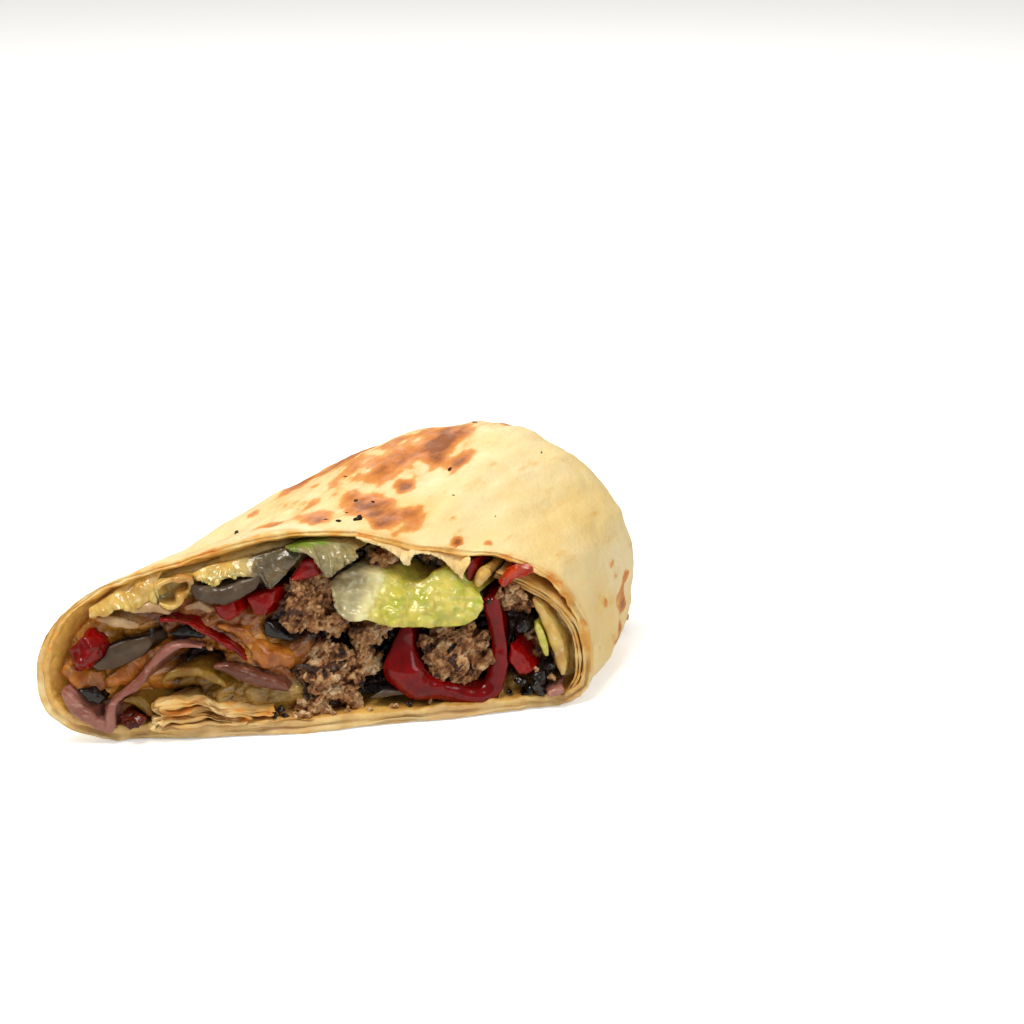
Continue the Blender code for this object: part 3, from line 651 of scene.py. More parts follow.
sheet = {
    "around": 400,
    "insideRows": 26,
    "rimRows": 18,
    "outsideRows": 140,
    "wall": 2.3,
    "noseWall": 0.5,
    "floorWall": 0.25,
    "innerGap": 0.9,
    "endGap": 4.0,
    "capRows": 10,
    "thinTop": 0.42,
    "groove": 0.4,
    "rimWave": 0.7,
    "crease": 0.9,
    "sink": 0.65,
    "noseTurn": 3.5,
    "noseSpread": 0.7,
    "grooveWidth": 0.07,
    "rimSwell": 0.3,
    "frontPull": 0.88,
    "rimToast": 0.34,
    "sideToast": 0.85,
    # how strong the painted shade on the low front edge of the sheet is
    "soaked": 0.45,
    "insideEnd": 0.999,
    "outsideEnd": 0.9999,
    "bumps": ((16.0, 0.7), (6.0, 0.35), (1.8, 0.12)),
    "creases": ((7.0, 0.6), (3.2, 0.3)),
}
# toast marks on the top: place in plan, half sizes along and across the grain, and strength
toastMarks = (
    (16.0, 31.0, 30.0, 9.0, 0.6),
    (6.0, 34.0, 12.0, 4.0, 0.85),
    (12.0, 37.0, 20.0, 6.0, 0.95),
    (30.0, 33.0, 14.0, 7.0, 1.1),
    (2.0, 30.0, 9.0, 3.4, 0.9),
    (20.0, 26.0, 12.0, 3.6, 1.0),
    (33.4, 24.4, 6.0, 2.4, 0.9),
    (12.4, 12.4, 5.4, 5.6, 1.1),
    (1.2, 6.8, 4.8, 3.2, 1.0),
    (14.0, 7.4, 5.4, 5.2, 1.1),
    (20.6, 7.4, 4.0, 3.6, 1.0),
    (20.4, 17.8, 2.6, 2.2, 1.0),
    (-8.0, 7.5, 2.4, 2.0, 0.95),
    (-10.3, 17.1, 2.4, 1.6, 0.9),
    (35.1, 3.4, 1.6, 1.0, 0.9),
    (28.7, 3.1, 1.8, 1.0, 0.9),
    (58.0, 62.0, 14.0, 5.0, 1.0),
    (72.0, 44.0, 8.0, 5.0, 1.0),
    (36.0, 56.0, 10.0, 4.0, 1.0),
    (-22.0, 33.0, 9.0, 3.0, 0.9),
    (-2.0, 50.0, 9.0, 4.0, 1.0),
    (50.0, 46.0, 7.0, 3.0, 0.95),
    (64.0, 54.0, 6.0, 4.0, 0.95),
    (24.0, 66.0, 10.0, 3.0, 0.95),
)


def toastAt(x, y):
    strength = 0.0
    for centreX, centreY, along, across, amount in toastMarks:
        runs, crosses = grainPlace(x - centreX, y - centreY)
        away = (runs / along) ** 2 + (crosses / across) ** 2
        strength = max(strength, amount * math.exp(-1.1 * away**1.5))
    return strength


def sheetToast(spot, station, share):
    # a golden line along the upper rim, and brown marks on the outside
    if share < 0:
        return 0.0
    rimToast = sheet["rimToast"] * softStep(10.0, 20.0, spot.z) * (1 - softStep(0.2, 1.6, spot.y))
    if share <= 1:
        return rimToast
    top = toastAt(spot.x, spot.y) * softStep(14.0, 26.0, spot.z)
    # small marks on the sides and the far end
    hidden = max(softStep(30.0, 22.0, spot.z), softStep(0.55, 0.75, station))
    hidden *= softStep(0.2, 0.4, station)
    here = Vector((spot.x / 1.6, spot.y / 1.6, spot.z)) / 4.0
    small = sheet["sideToast"] * hidden * softStep(0.28, 0.5, noise.noise(here + Vector((4.0, 1.0, 9.0))))
    return max(rimToast, top, small)


def wallGrowth(turn, ring):
    # how much thicker the sheet is at the cut, by the place around it
    grow = sheet["noseWall"] * math.exp(-(((turn - sheet["noseTurn"]) / sheet["noseSpread"]) ** 2))
    grow += sheet["floorWall"] * softStep(3.6, 4.2, turn) * softStep(6.3, 5.9, turn)
    return grow + (0.25 * noise.noise(ring * 9.0) + 0.12 * noise.noise(ring * 30.0))


def rimShape(share, ring, upper):
    # across the rim: how deep the line between two layers is, and how far the point moves
    middle = 0.5 + 0.14 * noise.noise(ring * 5.0 + Vector((0, 0, 3)))
    groove = math.exp(-(((share - middle) / sheet["grooveWidth"]) ** 2))
    groove *= softStep(-0.25, 0.15, noise.noise(ring * 4.0))
    groove *= 1 - upper
    half = share / middle if share < middle else (1 - share) / (1 - middle)
    swell = sheet["rimSwell"] * math.sin(math.pi * min(1.0, half)) ** 0.6
    return groove, sheet["groove"] * groove - swell


def longCrease(spot, station):
    # long creases that run back with the roll
    along, across = grainPlace(spot.x, spot.y)
    crease = noise.noise(Vector((across / 7, along / 50, 2.0)))
    crease += 0.5 * (0.4 - abs(noise.noise(Vector((across / 4, along / 30, 7.0)))))
    crease = sheet["crease"] * (crease - 0.5) * softStep(0.04, 0.2, station)
    return crease * softStep(12.0, 24.0, spot.z)


def sheetRows():
    # stations, insets, places across the rim, and how far a row is drawn in to its middle:
    # the closed inner end, the rim of the cut, the closed outer end
    rows = []
    for row in range(sheet["insideRows"] + 1):
        station = sheet["insideEnd"] * math.cos(math.pi / 2 * row / sheet["insideRows"])
        inset = sheet["innerGap"] * softStep(0.05, 0.25, station)
        inset += sheet["endGap"] * softStep(0.4, 0.85, station)
        rows.append((station, sheet["wall"] + inset, -1.0, 0.0))
    ends = [(k + 1) / sheet["capRows"] for k in range(sheet["capRows"])]
    rows = [(rows[0][0], rows[0][1], -1.0, share) for share in reversed(ends)] + rows
    for row in range(1, sheet["rimRows"]):
        share = row / sheet["rimRows"]
        rows.append((0.0, sheet["wall"] * (1 - share), share, 0.0))
    for row in range(sheet["outsideRows"] + 1):
        station = sheet["outsideEnd"] * math.sin(math.pi / 2 * row / sheet["outsideRows"])
        rows.append((station, 0.0, 2.0, 0.0))
    return rows + [(sheet["outsideEnd"], 0.0, 2.0, share) for share in ends]


def buildSheet(finish):
    rows = sheetRows()
    last = len(rows) - 1
    marks = {}

    def placeAt(across, along):
        turn = math.tau * across
        station, inset, share, draw = rows[round(along * last)]
        ring = Vector((math.cos(turn), math.sin(turn), 0.0))
        nearCut = 1 - softStep(0.0, 0.06, station)
        upper = softStep(0.15, 0.6, math.sin(turn))
        thick = inset * (1 + (wallGrowth(turn, ring) - sheet["thinTop"] * upper) * nearCut)
        spot = wrapPoint(turn, station, thick)
        if draw:
            top, base = wrapPoint(math.pi / 2, station, thick), wrapPoint(-math.pi / 2, station, thick)
            spot = spot.lerp((top + base) / 2, draw)
        spot.y += sheet["rimWave"] * (noise.noise(ring * 3.4) + 0.5 * noise.noise(ring * 14.0)) * nearCut
        spot.y *= sheet["frontPull"] if spot.y < 0 else 1.0
        groove = 0.0
        if 0 <= share <= 1:
            groove, move = rimShape(share, ring, upper)
            spot.y += move
            rim = 1.0
        else:
            spot.z += longCrease(spot, station)
            rim = (1 - softStep(0.4, 2.6, spot.y)) * (0.8 if share > 1 else 0.4)
        # painted shade on the low front edge of the sheet, where it meets the floor
        soaked = softStep(7.0, 2.0, spot.z) * softStep(6.0, 0.0, spot.y)
        keepMarks(
            marks,
            rim=rim * (1 - 0.5 * softStep(8.0, 3.0, spot.z)),
            inner=1.0 if share < 0 else 0.5 * max(0.0, 1 - share),
            line=0.6 * groove,
            toast=sheetToast(spot, station, share),
            soaked=sheet["soaked"] * soaked * (0.6 + 0.5 * noise.noise(spot / 5.0)),
            # the inside of the sheet moves with its outside
            move=-softStep(0.0, 0.05, station) if share < 0 else min(1.0, share),
        )
        return spot

    piece = bentGrid("bread_sheet", sheet["around"], last, placeAt)
    addMarks(piece, marks)
    closeUp(piece)
    roughen(piece, sheet["bumps"], 3.0, sink=sheet["sink"], creases=sheet["creases"])
    return finishPiece(piece, finish, "bread", "tortilla")


# the layers of the sheet that lie folded on the floor of the wrap
folds = {
    "pitch": 2.35,
    "floor": 2.9,
    "ply": 0.62,
    "plyGap": 0.36,
    "leftEnds": (-31.5, -32.5, -31.0, -29.5),
    "rightEnds": (-6.0, -16.5, -19.5, -15.0),
    "tail": (-10.0, 8.4),
    "widths": (0.9, 1.2, 0.8, 1.1, 0.9, 1.2, 0.8),
    "front": -3.2,
    "frontStep": 0.5,
    "length": 17.0,
    "squash": 0.74,
    "squashRight": 0.42,
    "crumple": 1.2,
    "fineCrumple": 0.5,
    "swayAcross": 1.4,
    "swayBack": 1.3,
}


def foldPath():
    # the line of the sheet in the cut, folded to and fro
    path = [Vector((folds["rightEnds"][0] + 6, folds["floor"] - 0.9))]
    for run, (left, right) in enumerate(zip(folds["leftEnds"], folds["rightEnds"])):
        height = folds["floor"] + run * folds["pitch"]
        first, last = (right, left) if run % 2 == 0 else (left, right)
        for share in (0.0, 0.2, 0.4, 0.6, 0.8, 1.0):
            wave = 0.35 * math.sin(2.6 * share + run)
            path.append(Vector((first + (last - first) * share, height + wave)))
        if run < len(folds["leftEnds"]) - 1:
            outward = -1 if run % 2 == 0 else 1
            for angle in (30, 60, 90, 120, 150):
                out = outward * folds["pitch"] * 0.55 * math.sin(math.radians(angle))
                up = folds["pitch"] / 2 * (1 - math.cos(math.radians(angle)))
                path.append(Vector((last + out, height + up)))
    path.append(Vector(folds["tail"]))
    return path


def curvePoint(points, share):
    # a smooth curve through the points
    place = share * (len(points) - 1)
    k = min(int(place), len(points) - 2)
    t = place - k
    before, after = points[max(0, k - 1)], points[min(len(points) - 1, k + 2)]
    a, b = points[k], points[k + 1]
    bend = (b - before) * 0.5
    leave = (after - a) * 0.5
    return (a * (2 * t**3 - 3 * t**2 + 1) + bend * (t**3 - 2 * t**2 + t)
            + b * (3 * t**2 - 2 * t**3) + leave * (t**3 - t**2))


def valueAlong(values, share):
    # straight steps between values that stand at even places
    place = share * (len(values) - 1)
    k = min(int(place), len(values) - 2)
    return values[k] + (values[k + 1] - values[k]) * (place - k)


leafRoot = 0.12  # the share of a leaf that runs back into the food


def leafSheet(name, upper, lower, depths, thickness=0.5, columns=150, rows=60, ruffle=0.8, size=4.0,
              frill=0.5, root=10.0, seed=0.0, sharp=False):
    # a leaf seen face on, between an upper and a lower edge
    upper, lower = [Vector(point) for point in upper], [Vector(point) for point in lower]
    pick = valueAlong if sharp else curvePoint

    def placeAt(across, along):
        share = max(0.0, (along - leafRoot) / (1 - leafRoot))
        place = pick(upper, across).lerp(pick(lower, across), share)
        depth = depths[0] + (depths[1] - depths[0]) * math.sin(share * math.pi / 2)
        depth += root * max(0.0, 1 - along / leafRoot)
        here = Vector((place.x / size, place.y / size, seed))
        depth += ruffle * (noise.noise(here) + 0.4 * noise.noise(here * 2.7)) * (0.4 + 0.6 * share)
        depth += 2.2 * frill * share**2 * noise.noise(Vector((across * columns / 9, 2.0 * share, seed)))
        place.x += 0.35 * frill * noise.noise(here * 2.2 + Vector((5, 0, 0)))
        droop = noise.noise(here * 2.4 + Vector((0, 7, 0)))
        place.y += 0.5 * frill * share * droop - 0.3 * min(0.0, depth)
        return carryBack(place.x, depth, place.y)

    piece = bentGrid(name, columns, rows, placeAt)
    applyModifier(piece, "SOLIDIFY", thickness=thickness * mm, offset=0.0)
    closeUp(piece, 0.001)
    return piece


def ribbon(name, path, thickness, front, length, columns=90, rows=16, offset=0.0, wave=0.4,
           waveSize=3.0, lean=(0.0, 0.0), endShare=0.55, seed=0.0, nose=0.35):
    # a layer seen edge on: its line in the cut face, thickened and run back into the food
    line = [Vector(point) for point in path]
    widths = thickness if isinstance(thickness, tuple) else (thickness, thickness)
    cap = 7
    around = 2 * rows + 2 * cap

    def sectionAt(row, half):
        # the section of the layer: its upper side, rounded front, lower side and rounded back
        if row <= rows:
            return (1 - row / rows) ** 1.5, half
        if row <= rows + cap:
            angle = math.pi * (row - rows) / cap
            return -nose * half * math.sin(angle) / length, half * math.cos(angle)
        if row <= 2 * rows + cap:
            return ((row - rows - cap) / rows) ** 1.5, -half
        angle = math.pi * (row - 2 * rows - cap) / cap
        return 1 + nose * half * math.sin(angle) / length, -half * math.cos(angle)

    def placeAt(along, turned):
        here = curvePoint(line, along)
        step = curvePoint(line, min(1.0, along + 0.01)) - curvePoint(line, max(0.0, along - 0.01))
        side = Vector((-step.y, step.x)).normalized()
        taper = endShare + (1 - endShare) * min(1.0, min(along, 1 - along) * 6)
        depth, out = sectionAt(turned * around, valueAlong(widths, along) / 2 * taper)
        grow = Vector((here.x * 0.3, depth * length * 0.3, seed))
        drift = wave * noise.noise(grow / waveSize * 3)
        shiftY = wave * noise.noise(Vector((here.x, here.y, seed + 9)) / waveSize)
        x = here.x + side.x * (out + offset + drift * 0.6) + lean[0] * depth
        z = here.y + side.y * (out + offset + drift * 0.6) + lean[1] * depth
        return carryBack(x, front + length * depth + shiftY, z)

    piece = bentGrid(name, columns, around, placeAt)
    closeUp(piece, fillEnds=True)
    return piece


def buildFolds(finish):
    path = foldPath()
    parts = []
    for ply in (-1, 1):
        offset = ply * (folds["ply"] + folds["plyGap"]) / 2 * 0.8
        parts.append(ribbon("bread_folds", path, folds["widths"], folds["front"] + folds["frontStep"] * ply,
                            folds["length"], columns=420, rows=10, offset=offset, wave=0.5,
                            waveSize=4.0, seed=5.0 + ply))
    piece = joinPieces("bread_folds", parts)
    marks = {}
    for point in piece.data.vertices:
        spot = point.co / mm - cutPlace
        # pressed flat, more so to the right
        squash = folds["squash"] - folds["squashRight"] * softStep(-30.0, -8.0, spot.x)
        point.co.z = mm * (folds["floor"] - 0.4 + (spot.z - folds["floor"] + 0.4) * squash)
        crumple = Vector((spot.x / 6, spot.y / 8, spot.z / 9))
        lift = softStep(2.0, 5.0, spot.z)
        wave = folds["crumple"] * noise.noise(crumple) + folds["fineCrumple"] * noise.noise(crumple * 2.6)
        sway = Vector((spot.z / 2.2, spot.x / 8, 4.0))
        point.co.z += mm * lift * wave
        point.co.x += mm * folds["swayAcross"] * lift * noise.noise(sway)
        point.co.y += mm * folds["swayBack"] * noise.noise(Vector((spot.z / 1.8, spot.x / 5, 9.0)))
        nearEnd = softStep(-28.5, -32.5, spot.x)
        nearEnd += softStep(-19.0, -15.5, spot.x) * softStep(4.0, 7.0, spot.z)
        damp = 0.42 + 0.5 * noise.noise(spot / 6)
        lines = noise.noise(Vector((spot.x / 5, spot.y, spot.z * 1.3)))
        keepMarks(
            marks,
            toast=0.26 * nearEnd + 0.14,
            moist=max(damp, 0.85 * softStep(-22.0, -8.0, spot.x), 0.95 * softStep(0.0, 6.0, spot.y)),
            rim=0.5,
            line=0.7 * softStep(0.12, 0.4, lines),
        )
    addMarks(piece, marks)
    roughen(piece, ((2.0, 0.25), (0.8, 0.08)), 7.0)
    return finishPiece(piece, finish, "bread", "tortilla")


# the turns of the sheet at the right end of the cut
heel = {
    "line": ((50.6, 1.6), (53.2, 5.5), (53.4, 11.0), (51.8, 17.0), (47.6, 22.6), (41.5, 26.6),
             (35.5, 29.4)),
    "plies": (-1, 0, 1),
    "offset": 0.4,
    "plyPitch": 0.62,
    "thickness": 0.55,
    "front": -0.4,
    "frontStep": 0.3,
    "length": 12.0,
}


def buildHeel(finish):
    parts = []
    for ply in heel["plies"]:
        parts.append(ribbon("bread_heel", heel["line"], heel["thickness"],
                            heel["front"] + heel["frontStep"] * ply, heel["length"], columns=120, rows=12,
                            offset=heel["offset"] + heel["plyPitch"] * ply, wave=0.4, waveSize=5.0,
                            seed=11.0 + ply))
    piece = joinPieces("bread_heel", parts)
    roughen(piece, ((3.0, 0.3), (0.9, 0.08)), 8.0)
    marks = {}
    for point in piece.data.vertices:
        keepMarks(marks, rim=0.9, moist=0.4 + 0.5 * softStep(0.0, 6.0, point.co.y / mm - cutPlace.y))
    addMarks(piece, marks)
    return finishPiece(piece, finish, "bread", "tortilla")


# the ragged inner edge under the top: place across the cut and height, with its tabs
torn = {
    "edge": ((7.6, 38.6), (9.6, 37.6), (12.4, 36.6), (14.4, 35.2), (15.8, 34.0), (16.8, 32.4),
             (18.0, 32.2), (18.7, 34.2), (20.4, 34.4), (22.4, 34.0), (23.8, 33.4), (25.0, 32.6),
             (26.2, 31.2), (27.6, 29.6), (28.6, 28.4), (29.2, 30.2), (30.4, 32.6)),
    "depths": (2.0, -0.8),
    "thickness": 0.45,
    "ruffle": 0.9,
    "frill": 0.2,
    "root": 5.0,
}


def buildTornEdge(finish):
    upper = []
    for x, height in torn["edge"]:
        turn = math.acos((x / (wrap["cutWidth"] / 2)) ** 1.1)
        wall = wrapPoint(turn, 0.0, sheet["wall"] * 0.5)
        upper.append((wall.x, wall.z))
    piece = leafSheet("bread_torn_edge", upper, torn["edge"], torn["depths"], torn["thickness"],
                      columns=260, rows=30, ruffle=torn["ruffle"], size=3.0, frill=torn["frill"],
                      root=torn["root"], seed=9.0, sharp=True)
    roughen(piece, ((2.0, 0.2), (0.7, 0.08)), 9.0)
    addMarks(piece, {"rim": [0.35] * len(piece.data.vertices)})
    return finishPiece(piece, finish, "bread", "tortilla")


# bits of char on the top: place in plan, and length
flecks = ((9.1, 5.9, 1.3), (2.8, 5.9, 0.5), (5.0, 4.5, 0.6), (9.9, 13.5, 0.6), (13.3, 13.0, 0.5),
          (9.4, 22.6, 0.5), (31.1, 22.6, 0.6), (-14.5, 11.0, 0.9), (7.4, 9.4, 0.4), (40.0, 40.0, 0.6),
          (52.0, 30.0, 0.5), (48.0, 58.0, 0.7), (20.0, 52.0, 0.6), (66.0, 44.0, 0.6), (30.0, 14.0, 0.35),
          (38.0, 11.0, 0.3))


def buildFlecks(under):
    parts = []
    for k, (x, y, size) in enumerate(flecks):
        found, spot, normal, face = under.ray_cast(inFrame((x, y, 100.0)), Vector((0, 0, -1)))
        lie = normal.to_track_quat("Z", "Y").to_matrix() @ Matrix.Rotation(1.3 * k, 3, "Z")
        fleck = addLump(spot, size, (1.0, 0.5, 0.22), lie.to_euler())
        roughen(fleck, ((0.8, 0.5 * size), (0.3, 0.15 * size)), 3.0 * k)
        parts.append(fleck)
    finish = moistFinish("charFlecks", (26, 20, 18), (44, 32, 26), (12, 10, 10), gloss=0.3, dull=0.7,
                         coat=0.0)
    return finishPiece(joinPieces("char_flecks", parts), finish, "bread")


# the droopy tongue of the sheet at the folded end
flap = {
    "root": 0.72,
    "start": 0.06,
    "width": 0.86,
    "reach": 13.2,
    "back": 3.0,
    "tipShare": 0.68,
    "top": 7.0,
    "lift": 1.3,
    "droop": 0.62,
    "lowest": 1.1,
    "ripple": 1.6,
    "fineRipple": 0.7,
    "thickness": 2.0,
}


def buildFlap(finish):
    left, right = sidePoints(1.0)
    rootLeft, rootRight = sidePoints(flap["root"])
    marks = {}

    def placeAt(across, along):
        share = flap["start"] + flap["width"] * across
        root, edge = rootLeft.lerp(rootRight, share), left.lerp(right, share)
        tipShare = flap["tipShare"]
        rise = share / tipShare if share < tipShare else (1 - share) / (1 - tipShare)
        reach = flap["reach"] * softStep(0.0, 1.15, rise) - flap["back"]
        reach += 0.8 * noise.noise(Vector((share * 9, 3.0, 0.0))) * along
        tip = edge + (edge - root).normalized() * reach
        spot = root.lerp(tip, along)
        here = Vector((spot.x / 9, spot.y / 9, 0.0))
        height = flap["top"] * (1 - along**3) ** 0.5
        height *= 0.55 + 0.45 * min(1.0, 2.2 * min(across, 1 - across))
        ripple = flap["ripple"] * noise.noise(here) + flap["fineRipple"] * noise.noise(here * 3)
        height = flap["lift"] + height * flap["droop"] + ripple * (1 - 0.5 * along)
        keepMarks(marks, rim=softStep(0.9, 1.0, along),
                  toast=0.95 * softStep(0.55, 0.95, along) * softStep(0.35, 0.6, across))
        return Vector((spot.x, spot.y, max(flap["lowest"], height)))

    piece = bentGrid("bread_flap", 120, 90, placeAt)
    addMarks(piece, marks)
    applyModifier(piece, "SOLIDIFY", thickness=flap["thickness"] * mm, offset=0.0)
    applyModifier(piece, "SMOOTH", factor=0.5, iterations=12)
    roughen(piece, ((3.0, 0.25), (1.2, 0.08)), 10.0)
    return finishPiece(piece, finish, "bread", "tortilla")


bread = breadFinish()
buildFlecks(buildSheet(bread))
buildFolds(bread)
buildHeel(bread)
buildTornEdge(bread)
buildFlap(bread)
print("bread built")

# the crumbled meat

meat = {
    "coreVoxel": 0.8,
    "crumbVoxel": 0.27,
    # place in the cut, half spread, crumbs, crumb size, depth behind the cut
    "groups": (
        ((-3.2, 25.6), (5.4, 4.8), 24, 1.9, 0.2),
        ((1.4, 20.8), (2.0, 1.6), 5, 1.4, 0.8),
        ((0.6, 10.2), (6.4, 4.6), 30, 1.9, 0.6),
        ((-1.2, 4.6), (5.2, 2.6), 18, 1.7, 0.0),
        ((6.4, 12.6), (3.0, 2.2), 9, 1.5, 1.6),
        ((26.2, 12.8), (6.0, 4.4), 28, 1.9, -0.6),
        ((28.8, 8.2), (1.8, 2.2), 6, 1.4, -0.4),
        ((7.8, 18.2), (2.4, 2.6), 10, 1.6, 1.2),
        ((11.0, 33.0), (3.6, 1.2), 12, 1.4, 3.0),
        ((20.0, 31.0), (4.0, 1.2), 9, 1.5, 6.0),
        ((38.6, 23.6), (3.0, 2.2), 12, 1.6, 1.2),
        ((14.0, 9.4), (3.0, 3.4), 10, 1.6, 5.0),
        ((43.0, 13.0), (2.2, 5.0), 12, 1.6, 3.6),
    ),
}


def buildChunk(group, place, spread, count, size, depth):
    # a group of crumbs, melted together and roughened twice
    crumbs = []
    for k in range(count):
        turn = 2.4 * k + group
        away = math.sqrt((k + 0.3) / count)
        middle = carryBack(place[0] + spread[0] * away * math.cos(turn),
                           depth + 2.4 * away + 0.6 * math.sin(3.1 * k),
                           place[1] + spread[1] * away * math.sin(turn))
        grow = size * (0.9 + 0.45 * math.sin(5.1 * k + group))
        crumb = addLump(inFrame(middle), grow, (1.35, 1.3, 0.7), (0.9 * math.sin(k), 1.7 * k, 0.8 * k))
        roughen(crumb, ((1.6, 0.9),), k + group)
        crumbs.append(crumb)
    chunk = joinPieces("ground_meat_crumbs", crumbs)
    applyModifier(chunk, "REMESH", mode="VOXEL", voxel_size=meat["crumbVoxel"] * mm)
    roughen(chunk, ((3.0, 1.0),), group * 3.0, ridges=((2.6, 0.9),), stretch=2.4)
    roughen(chunk, ((0.9, 0.25),), group * 5.0, crumb=((1.9, 0.45),), ridges=((1.3, 0.7), (0.6, 0.3)),
            store="relief", stretch=2.2)
    return chunk


def buildMeat(finish):
    core = copyOfNode("ground_meat_core", "ground_meat")
    applyModifier(core, "REMESH", mode="VOXEL", voxel_size=meat["coreVoxel"] * mm)
    roughen(core, ((5.0, 0.6),), 2.0, crumb=((2.8, 0.6), (1.2, 0.25)), store="relief", sink=1.1)
    chunks = [buildChunk(group, *values) for group, values in enumerate(meat["groups"])]
    finishPiece(core, finish, "meat", "ground_meat")
    finishPiece(joinPieces("ground_meat_crumbs", chunks), finish, "meat", "ground_meat")


buildMeat(meatFinish())
print("meat built")

# what the filling is finished in: two tones, a third in small patches, and the skin where there is one

finishes = {
    "pepper": moistFinish("redPepper", (150, 2, 6), (106, 2, 6), (178, 14, 12), accentAmount=0.2,
                          gloss=0.05, dull=0.2, wetSize=2.0, coat=0.25, front=3.0, through=0.0),
    "pepperCut": moistFinish("pepperFlesh", (172, 24, 14), (140, 10, 10), (200, 70, 38),
                             accentAmount=0.3, skin=(166, 4, 8), coat=0.3, front=3.0, through=0.0),
    "tomato": moistFinish("tomatoSkin", (214, 74, 26), (176, 38, 16), (120, 30, 12), accentAmount=0.3,
                          coat=0.6),
    "charred": moistFinish("charredTomato", (110, 34, 14), (60, 18, 8), (24, 10, 8), accentAmount=0.4,
                           bump=0.4),
    "olive": moistFinish("oliveFlesh", (104, 90, 72), (80, 70, 58), (60, 50, 42), accentAmount=0.3,
                         gloss=0.16, dull=0.5, skin=(34, 28, 28), wetSize=2.0, coat=0.22, front=4.0,
                         deep=12.0, bump=0.06),
    "oliveSkin": moistFinish("oliveSkin", (34, 30, 32), (20, 18, 22), (66, 58, 54), accentAmount=0.24,
                             gloss=0.05, wetSize=2.0, coat=0.6),
    "onion": moistFinish("cookedOnion", (222, 198, 152), (190, 154, 104), (238, 224, 192), through=0.3,
                         coat=0.6),
    "cheese": moistFinish("meltedCheese", (206, 136, 42), (158, 84, 22), (240, 190, 100), through=0.25,
                          gloss=0.05, wetSize=1.8, coat=0.7, front=3.0, size=2.4, bump=0.3),
    "ham": moistFinish("cookedHam", (176, 122, 108), (142, 86, 74), (214, 176, 160), stretch=2.0,
                       through=0.2, front=3.0, coat=0.6, gloss=0.06, juices=(0.05, 0.5)),
    "stewedHam": moistFinish("stewedHam", (136, 84, 66), (98, 54, 38), (184, 134, 110), stretch=2.0,
                             through=0.2, front=3.0, coat=0.6, gloss=0.06, juices=(0.2, 0.75)),
    "pickle": moistFinish("pickledPepper", (170, 140, 54), (134, 104, 34), (204, 180, 100),
                          through=0.2, coat=0.5),
    "cabbage": moistFinish("paleCabbage", (236, 206, 120), (206, 168, 84), (246, 232, 180), through=0.3,
                           front=4.0, deep=14.0, coat=0.7, gloss=0.05, juices=(0.05, 0.7)),
    "leaf": leafFinish("yellowGreenLeaf", (228, 210, 100), (182, 186, 62), (182, 172, 128),
                       (244, 232, 172)),
    "hanging": leafFinish("paleLeaf", (164, 152, 104), (128, 116, 72), (116, 146, 44),
                          (216, 208, 164), 6.0),
    "grey": leafFinish("greyLeaf", (108, 94, 64), (76, 66, 46), (206, 180, 112), (140, 126, 90), 7.0),
}
# the low relief of a clean cut, as (size, height)
cleanCut = ((3.0, 0.4), (1.0, 0.12))
# pieces that keep their solid's form: finish, record's slot, voxel, rounding and relief
fillings = {
    "pepper_top": ("pepperCut", "pepper", 0.26, 8, cleanCut),
    "pepper_dice_left": ("pepperCut", "pepper", 0.26, 8, cleanCut),
    "pepper_dice_right": ("pepperCut", "pepper", 0.26, 8, cleanCut),
    "pepper_right": ("pepperCut", "pepper", 0.26, 8, ((3.0, 0.6), (1.0, 0.2))),
    "pepper_left": ("pepper", "pepper", 0.26, 8, ((3.0, 0.8), (1.2, 0.25))),
    "tomato_skin": ("tomato", "tomato", 0.24, 4, ((2.4, 0.8), (0.9, 0.25))),
    "tomato_charred": ("charred", "tomato", 0.26, 4, ((2.0, 0.7), (0.8, 0.3))),
    "olive_left": ("olive", "olive", 0.24, 10, ((4.0, 0.3),)),
    "olive_upper": ("oliveSkin", "olive", 0.24, 6, cleanCut),
    "olive_low": ("oliveSkin", "olive", 0.26, 6, cleanCut),
    "olive_mid": ("oliveSkin", "olive", 0.26, 6, ((3.0, 0.5), (1.0, 0.15))),
    "olive_bottom": ("olive", "olive", 0.24, 6, ((3.0, 0.3),)),
    "olive_right_upper": ("oliveSkin", "olive", 0.26, 5, ((3.0, 0.7), (1.0, 0.25))),
    "olive_right_lower": ("oliveSkin", "olive", 0.26, 5, ((3.0, 0.7), (1.0, 0.25))),
    "onion_brown": ("onion", "onion", 0.22, 6, ((3.0, 0.4),)),
    "cheese_mid": ("cheese", "cheese", 0.28, 14, ((4.0, 1.0), (1.6, 0.35))),
}
# how far a piece stands before and above its solid
shifts = {"olive_bottom": (0.0, -1.6, 1.9)}
